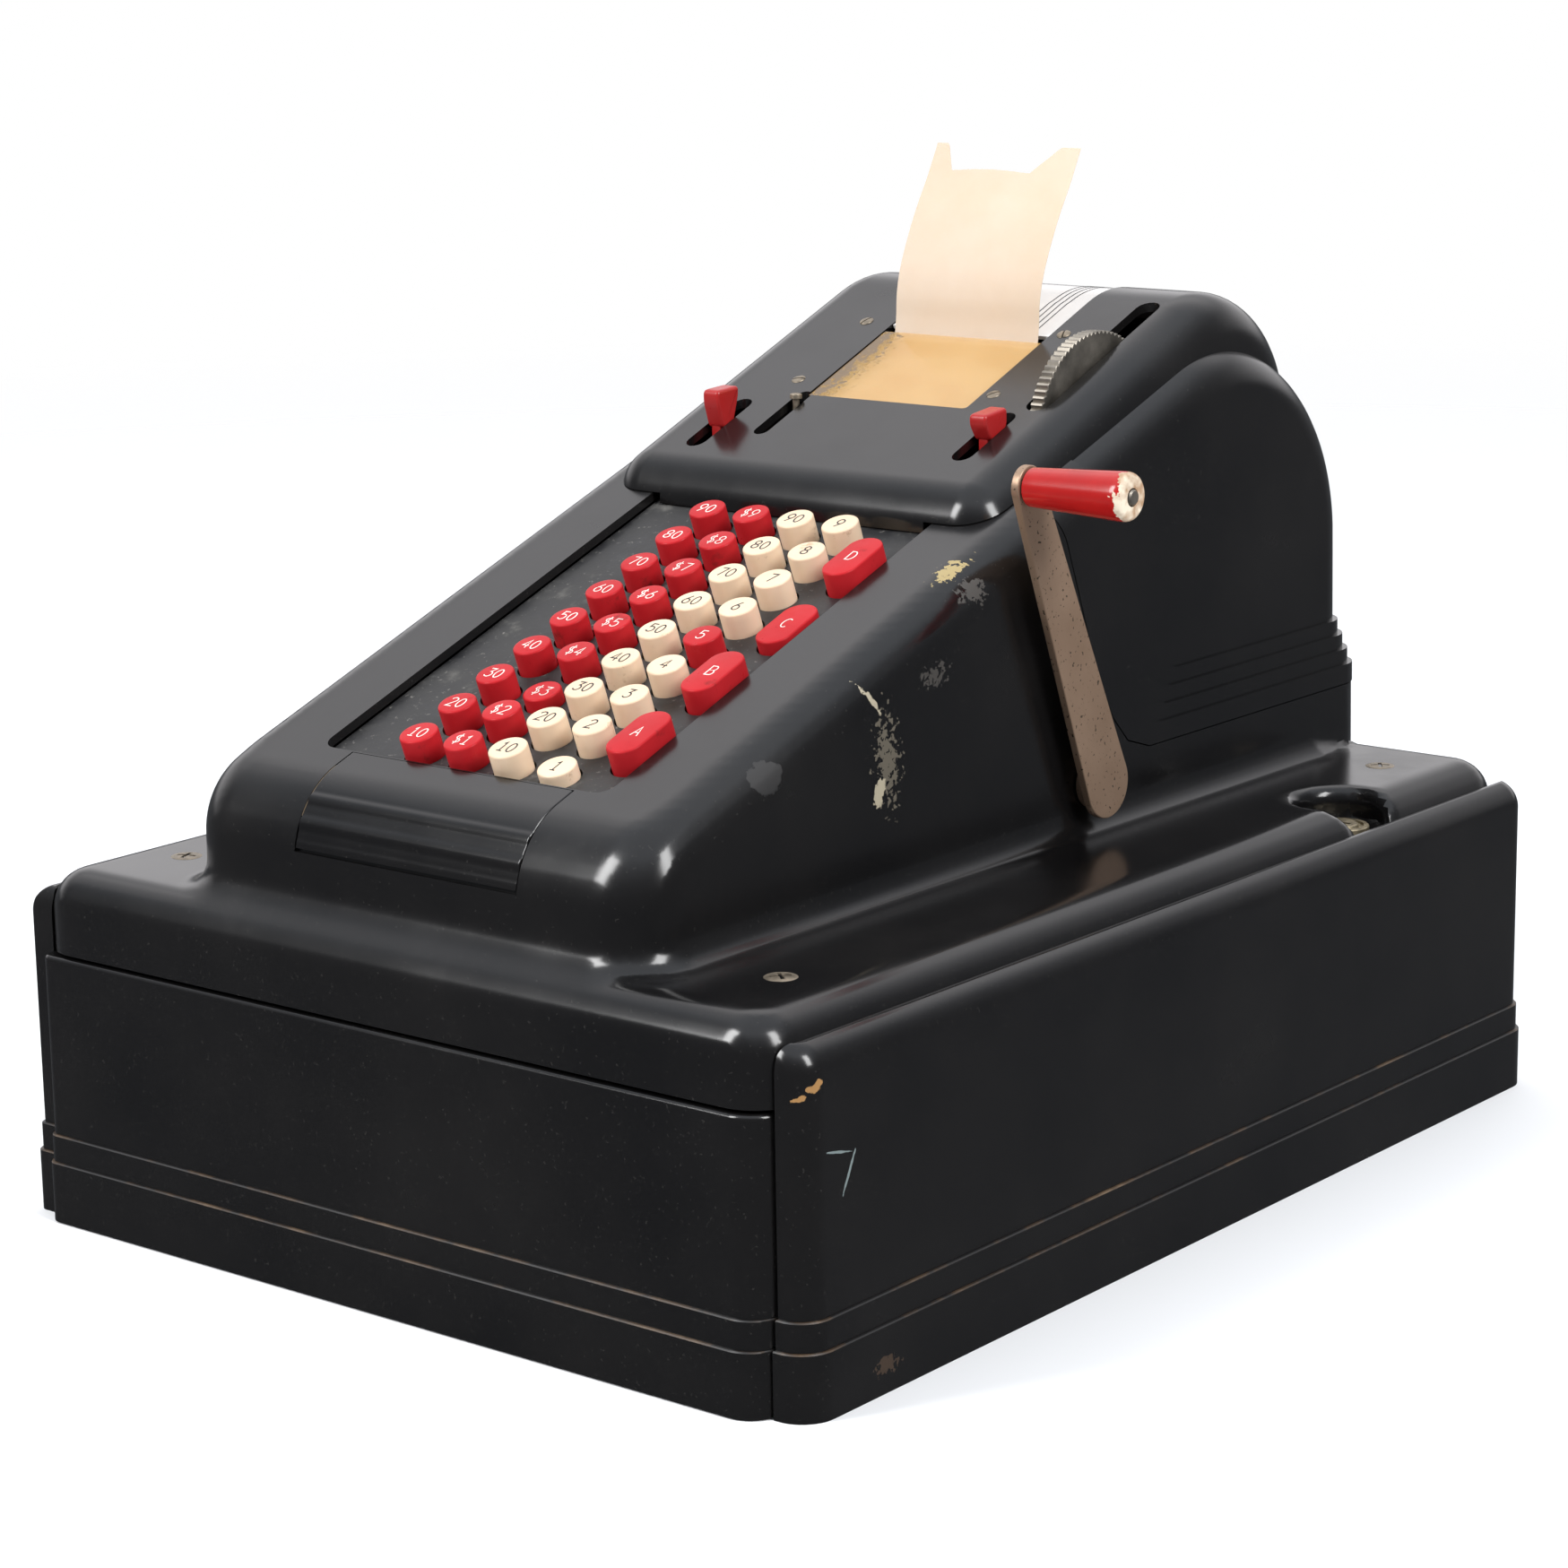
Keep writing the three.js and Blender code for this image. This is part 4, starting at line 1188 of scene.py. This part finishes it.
def ring(name, profile, origin, axis, sides=64):
    """A profile turned round an axis that it doesn't touch, its last point joined to its first."""
    obj = turned(name, profile, origin, axis, sides)
    work = bmesh.new()
    work.from_mesh(obj.data)
    caps = [face for face in work.faces if len(face.verts) == sides]
    bmesh.ops.delete(work, geom=caps, context="FACES_ONLY")
    edges = [edge for edge in work.edges if edge.is_boundary]
    bmesh.ops.bridge_loops(work, edges=edges)
    bmesh.ops.recalc_face_normals(work, faces=work.faces)
    work.to_mesh(obj.data)
    work.free()
    return obj


grip = ring("crank_grip_handle", [(r, a + GRIP_X) for r, a in grip_profile], (0, GRIP_Y, GRIP_Z), (1, 0, 0))
finish_piece(grip, "grip", CHIPPED, ["crank_grip"], 40)


# ---- paper feed: knurled wheel, platen, shaft ----
def knurled_wheel():
    teeth = 90
    outline = []
    for i in range(teeth):
        for share, radius in ((0.0, WHEEL_RADIUS - 0.8), (0.3, WHEEL_RADIUS), (0.6, WHEEL_RADIUS)):
            a = 2 * math.pi * (i + share) / teeth
            outline.append((WHEEL_Y + radius * math.cos(a), WHEEL_Z + radius * math.sin(a)))
    wheel = sideways("wheel", outline, 59.5, 64.5, (0.25, 0.25), 1)
    wheel.data.materials.append(STEEL)
    return wheel


wheel_parts = [knurled_wheel(), shaft([(3, 64), (3, 71.5)], WHEEL_Y, WHEEL_Z, STEEL, 24)]
wheel = join_objects("knurled_wheel", wheel_parts)
finish_piece(wheel, "feed_wheel", None, ["feed_wheel"], 30, False)
platen_parts = [
    shaft([(17.4, -30), (18, -29.4), (18, 32.4), (17.4, 33)], WHEEL_Y, WHEEL_Z, RUBBER, 64),
    shaft([(3, -71.5), (3, 59.1)], WHEEL_Y, WHEEL_Z, STEEL, 24),
]
finish_piece(join_objects("platen_roller", platen_parts), "platen", None, ["platen"], 30)


# ---- paper: a curled strip with a torn end that leaves a horn at each side ----
def smooth_line(points, steps):
    """A Catmull-Rom curve through the points, sampled evenly by span."""
    line = []
    ends = [points[0]] + list(points) + [points[-1]]
    for i in range(1, len(ends) - 2):
        p0, p1, p2, p3 = (np.array(q, dtype=float) for q in ends[i - 1 : i + 3])
        for t in np.linspace(0, 1, steps, endpoint=False):
            line.append(
                0.5 * (2 * p1 + (p2 - p0) * t + (2 * p0 - 5 * p1 + 4 * p2 - p3) * t**2
                       + (3 * p1 - p0 - 3 * p2 + p3) * t**3)
            )
    line.append(np.array(points[-1], dtype=float))
    return np.array(line)


PAPER_THICK = 0.16
PAPER_LINE = [
    (263, 252.6), (300, 267.4), (305, 269.6), (308, 272.4), (309.2, 279), (309.7, 288), (311.8, 297),
    (316, 307), (321.5, 317.5), (328, 328), (334.5, 339.8),
]
HORN = 10.5  # how far the horns stand above the tear


def torn_end(u):
    """How far the paper falls short of its full length, across its width."""
    left = np.clip((u - 0.09) / 0.08, 0, 1)
    right = np.clip((0.88 - u) / 0.16, 0, 1)
    arch = 0.9 * math.sin(math.pi * np.clip((u - 0.17) / 0.55, 0, 1))
    return HORN * min(left, right) - arch + random.uniform(-0.09, 0.09)


def paper_strip(columns=72, rows=110):
    line = smooth_line(PAPER_LINE, 12)
    travel = np.concatenate([[0], np.cumsum(np.linalg.norm(np.diff(line, axis=0), axis=1))])
    front, rear = [], []
    for i in range(columns + 1):
        u = i / columns
        end = travel[-1] - max(torn_end(u), 0)
        x = PAPER[0] + (PAPER[1] - PAPER[0]) * u
        for k in range(rows + 1):
            t = end * k / rows
            y, z = (np.interp(t, travel, line[:, a]) for a in (0, 1))
            ahead = [np.interp(min(t + 1, travel[-1]), travel, line[:, a]) for a in (0, 1)]
            behind = [np.interp(max(t - 1, 0), travel, line[:, a]) for a in (0, 1)]
            dy, dz = ahead[0] - behind[0], ahead[1] - behind[1]
            size = math.hypot(dy, dz)
            rise = np.clip((z - 274) / 55, 0, 1)
            curl = 2.2 * rise * (1 - (2 * u - 1) ** 2) - 0.5 * rise
            y -= curl * dz / size
            z += curl * dy / size * 0.3
            z = min(z, 339.8)
            front.append((x, y, z))
            rear.append((x, y + PAPER_THICK * dz / size, z - PAPER_THICK * dy / size))
    count = (columns + 1) * (rows + 1)
    faces = []

    def at(i, k, side=0):
        return side * count + i * (rows + 1) + k

    for i in range(columns):
        for k in range(rows):
            faces.append((at(i, k), at(i + 1, k), at(i + 1, k + 1), at(i, k + 1)))
            faces.append((at(i, k, 1), at(i, k + 1, 1), at(i + 1, k + 1, 1), at(i + 1, k, 1)))
    rim = [(i, 0) for i in range(columns)] + [(columns, k) for k in range(rows)]
    rim += [(i, rows) for i in range(columns, 0, -1)] + [(0, k) for k in range(rows, 0, -1)]
    for here, there in zip(rim, rim[1:] + rim[:1]):
        faces.append((at(*here), at(*here, 1), at(*there, 1), at(*there)))
    obj = make_object("tally_paper", front + rear, faces)
    fix_normals(obj)
    return obj


finish_piece(paper_strip(), "base", PAPER_SHEET, ["paper_strip"], 40, False)


# ---- window: an amber pane in front of the paper slit, a clear tear plate behind it ----
def curved_sheet(name, line, thick, x0, x1):
    """A sheet that follows a side line (y, z), its thickness below the line."""
    line = [tuple(p) for p in line]
    under = []
    for i, (y, z) in enumerate(line):
        a, b = line[max(i - 1, 0)], line[min(i + 1, len(line) - 1)]
        length = math.dist(a, b)
        under.append((y + (b[1] - a[1]) / length * thick, z - (b[0] - a[0]) / length * thick))
    return sideways(name, line + under[::-1], x0, x1)


def pane_point(y):
    """The window follows the top of the hood, then its round rear."""
    radius = SLAB_REAR_ROUND - PANE_DROP
    bend = SLAB_REAR_Y + radius * math.cos(math.radians(112))
    if y < bend:
        return (y, hood_z(y) - PANE_DROP)
    return (y, SLAB_REAR_Z + math.sqrt(max(radius**2 - (y - SLAB_REAR_Y) ** 2, 0)))


pane_edges = (WINDOW[0] + PANE_GAP, WINDOW[1] - PANE_GAP)
front_pane = curved_sheet("amber_pane", [pane_point(y) for y in (262.6, 285, 307.0)], 1.2, *pane_edges)
finish_piece(front_pane, "base", AMBER, ["window_pane"])
rear_line = [pane_point(y) for y in np.linspace(311.6, 379.5, 26)]
rear_plate = curved_sheet("rear_tear_plate", rear_line, 1.4, *pane_edges)
finish_piece(rear_plate, "base", CLEAR_PLATE)
guide_lines = []
top = [(y, z + 0.08) for y, z in rear_line[1:-1]]
for x in (20.5, 23.0, 25.5, 28.0):
    guide_lines.append(curved_sheet("guide", top, 0.2, x - 0.22, x + 0.22))
finish_piece(join_objects("guide_lines", guide_lines), "base", LEGEND_BLACK)


# ---- control levers, sliding pin ----
def soften(points, radius, steps=5):
    """Rounds the corners of an outline."""
    points = counter_clockwise(points)
    result = []
    for i in range(len(points)):
        here, before = Vector(points[i]), Vector(points[i - 1])
        after = Vector(points[(i + 1) % len(points)])
        cut = min(radius, (here - before).length * 0.45, (here - after).length * 0.45)
        start = here + (before - here).normalized() * cut
        end = here + (after - here).normalized() * cut
        for t in np.linspace(0, 1, steps):
            result.append(tuple(start * (1 - t) ** 2 + here * 2 * t * (1 - t) + end * t**2))
    return result


LEVER_PIVOT_Z = 216


def lever_knob(name, body, node, x, y, head):
    """A moulded lever: a thin blade through the slot and a head that leans back."""
    low, high = LEVER_PIVOT_Z, 251.5
    side = soften([(y - 3, low), (y + 3, low), (y + 3, high), (y - 3, high)], 1)
    stalk = sideways("stalk", side, x - 2, x + 2, (0.6, 0.6), 3)
    hub = turned("hub", [(4, x - 5), (4, x + 5)], (0, y, LEVER_PIVOT_Z), (1, 0, 0), 32)
    knob = sideways("knob", soften(head, 1.8), x - 3.6, x + 3.6, (1.3, 1.3), 5)
    boolean(knob, stalk, "UNION")
    boolean(knob, hub, "UNION")
    knob.name = name
    return finish_piece(knob, body, LEVER_RED, [node], 40)


lever_knob("left_lever_knob", "lever_left", "lever_left", -55, 241,
           [(238, 246), (243.6, 246), (245.5, 252), (247, 257), (247, 260.3), (235.2, 259.6), (235.2, 255)])
lever_knob("right_lever_knob", "lever_right", "lever_right", 55, 249,
           [(246, 249), (252, 249), (255.4, 253.5), (255.4, 259.7), (242.6, 258.2), (242.6, 254.5)])


def slotted_head(name, x, y, z, radius, sink, turn_degrees, slot_width, cross=False):
    """A screw head, standing a little proud, with its slot or cross cut in."""
    dome = [(0.93, 0.12), (0.7, 0.3), (0.3, 0.42)]
    profile = [(radius, -sink), (radius, -0.15)] + [(radius * share, z0) for share, z0 in dome]
    head = turned(name, profile, (x, y, z), (0, 0, 1), 40)
    for turn_by in (turn_degrees, turn_degrees + 90) if cross else (turn_degrees,):
        reach = radius * (0.62 if cross else 1.2)
        half = slot_width / 2
        c, s = math.cos(math.radians(turn_by)), math.sin(math.radians(turn_by))
        outline = [(-reach, -half), (reach, -half), (reach, half), (-reach, half)]
        placed = [(x + p * c - q * s, y + p * s + q * c) for p, q in outline]
        boolean(head, standing("driver_slot", placed, z - radius * 0.14 - 0.15, z + 2))
    return head


pin = slotted_head("pin_head", -34, 257, 257.3, 2.2, 1.4, 35, 0.6)
boolean(pin, turned("pin_stem", [(1.2, 240), (1.2, 257)], (-34, 257, 0), (0, 0, 1), 24), "UNION")
pin.name = "slide_pin_screw"
finish_piece(pin, "slide_pin", SCREW, ["slide_pin"], 30)

# ---- fasteners ----
for i, (x, y, turn_by) in enumerate(((-127, 45.7, 20), (127, 45.7, 50), (-126, 388.6, 10), (126, 388.6, 35))):
    cover_screw = slotted_head(f"cover_screw_{i}", x, y, COVER_TOP, 5.4, 1.2, turn_by, 1.3, True)
    finish_piece(cover_screw, "base", SCREW, angle=30)
for i, (x, y, turn_by) in enumerate(((-45, 312, 70), (-44, 271, 15), (40.5, 272, 50), (41, 313, 110))):
    hood_screw = slotted_head(f"hood_screw_{i}", x, y, 0, 2.6, 1.0, turn_by, 0.6)
    tilt = Matrix.Rotation(HOOD_SLOPE, 4, "X")
    pivot = Matrix.Translation(Vector(to_frame([(x, y, 0)])[0]))
    seat = Matrix.Translation(Vector((0, 0, hood_z(y) / 1000)))
    hood_screw.data.transform(seat @ pivot @ tilt @ pivot.inverted())
    finish_piece(hood_screw, "base", SCREW, angle=30)

# ---- drawer lock: a stepped plug with a keyway, at the bottom of its recess ----
plug = [(10, 96), (10, 110.6), (9.6, 111.0), (8.2, 111.0), (8.0, 110.2)]
plug += [(6.6, 110.2), (6.2, 111.2), (5.6, 111.6)]
lock = turned("lock_plug", plug, (LOCK_X, LOCK_Y, 0), (0, 0, 1), 64)
boolean(lock, block("keyway", LOCK_X - 4, LOCK_X + 4, LOCK_Y - 0.8, LOCK_Y + 0.8, 106, 120))
boolean(lock, block("cam", LOCK_X - 9, LOCK_X + 2, LOCK_Y - 3, LOCK_Y + 3, 94.6, 97), "UNION")
finish_piece(lock, "drawer_lock", BRASS, ["drawer_lock"], 30)

# ---- the CAD solids that keep their shape ----
for node, material in (("cabinet", BLACK), ("cash_drawer", TRAY), ("mechanism_frame", STEEL)):
    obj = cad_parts[node]
    obj.data.materials.clear()
    obj.data.materials.append(material)

# ---- camera, light and floor ----
def looking_from(azimuth, elevation):
    """The unit vector towards a viewer. Azimuth 0 is the operator's side, 90 the right."""
    a, e = math.radians(azimuth), math.radians(elevation)
    return Vector((math.sin(a) * math.cos(e), -math.cos(a) * math.cos(e), math.sin(e)))


back = looking_from(39.077, 12.961)
roll = math.radians(-0.9145)
right = (-back).cross(Vector((0, 0, 1))).normalized()
up = right.cross(-back)
cam_x = right * math.cos(roll) + up * math.sin(roll)
cam_y = up * math.cos(roll) - right * math.sin(roll)
camera = bpy.data.objects.new("camera", bpy.data.cameras.new("camera"))
camera.data.sensor_width = 36
camera.data.lens = 93.13
camera.rotation_mode = "QUATERNION"
camera.rotation_quaternion = Matrix((cam_x, cam_y, back)).transposed().to_quaternion()
camera.location = (0.8532, -1.0607, 0.4430)
bpy.context.scene.collection.objects.link(camera)
bpy.context.scene.camera = camera

bpy.context.scene.view_settings.view_transform = "Standard"
bpy.context.scene.view_settings.look = "None"

# The surround's brightness by height, from straight down (0) to straight up (1), and its tint.
SKY = [(0.0, 0.13), (0.5, 0.13), (0.62, 0.16), (0.74, 0.26), (0.85, 0.6), (0.93, 1.1), (1.0, 1.1)]
SKY_TINT = (0.95, 1.0, 1.08)
# A bright backdrop behind the machine, seen only in reflections.
REARWARD = (-0.63, 0.777, 0.0)
BACKDROP = [(0.53, 0.0), (0.58, 0.8), (0.66, 0.8), (0.76, 0.4), (0.84, 1.0), (1.0, 0.6)]
BACKDROP_GLOW = (1.55, 1.52, 1.55)

world = bpy.data.worlds.new("studio")
bpy.context.scene.world = world
world.use_nodes = True
studio = NodeTree(world.node_tree)
direction = studio.coords.outputs["Generated"]
split = studio.add("ShaderNodeSeparateXYZ")
studio.link(direction, split.inputs["Vector"])
lift = studio.add("ShaderNodeMapRange")
lift.inputs["From Min"].default_value = -1.0
studio.link(split.outputs["Z"], lift.inputs["Value"])
height = lift.outputs["Result"]
behind = studio.add("ShaderNodeVectorMath", operation="DOT_PRODUCT")
behind.inputs[1].default_value = REARWARD
studio.link(direction, behind.inputs[0])
sky = studio.ramp(height, [(place, [level * tint for tint in SKY_TINT]) for place, level in SKY])
rearward = studio.ramp(behind.outputs["Value"], [(0.3, 0.0), (0.65, 1.0)])
backdrop = studio.math("MULTIPLY", rearward, studio.ramp(height, BACKDROP))
glow = studio.mix(backdrop, sky, BACKDROP_GLOW)
camera_ray = studio.add("ShaderNodeLightPath").outputs["Is Camera Ray"]
background = world.node_tree.nodes["Background"]
studio.link(studio.mix(camera_ray, glow, (1, 1, 1)), background.inputs["Color"])
background.inputs["Strength"].default_value = 1.0


def softbox(name, azimuth, elevation, distance, size, power):
    """A rectangular light that faces the machine."""
    data = bpy.data.lights.new(name, "AREA")
    data.shape = "RECTANGLE"
    data.size, data.size_y = size
    data.energy = power
    lamp = bpy.data.objects.new(name, data)
    away = looking_from(azimuth, elevation)
    lamp.location = away * distance + Vector((0, 0, 0.15))
    lamp.rotation_mode = "QUATERNION"
    lamp.rotation_quaternion = away.to_track_quat("Z", "Y")
    lamp.visible_camera = False
    bpy.context.scene.collection.objects.link(lamp)


softbox("softbox_left", -28, 36, 2.5, (0.7, 1.2), 46)
softbox("softbox_right", 82, 38, 2.5, (0.7, 1.4), 46)


def pale_floor():
    """White near the machine, melting into the white surround."""
    n = Nodes("floor")
    length = n.add("ShaderNodeVectorMath", operation="LENGTH")
    n.link(n.coords.outputs["Object"], length.inputs[0])
    fade = n.ramp(n.math("DIVIDE", length.outputs["Value"], 3.0), [(0.22, 1.0), (0.8, 0.0)])
    n.set(Base_Color=(0.93, 0.93, 0.93), Roughness=0.9, Alpha=fade)
    return n.material


floor = bpy.data.objects.new("floor", bpy.data.meshes.new("floor"))
floor.data.from_pydata([(-3, -3, 0), (3, -3, 0), (3, 3, 0), (-3, 3, 0)], [], [(0, 1, 2, 3)])
bpy.context.scene.collection.objects.link(floor)
floor.data.materials.append(pale_floor())
floor.visible_glossy = False
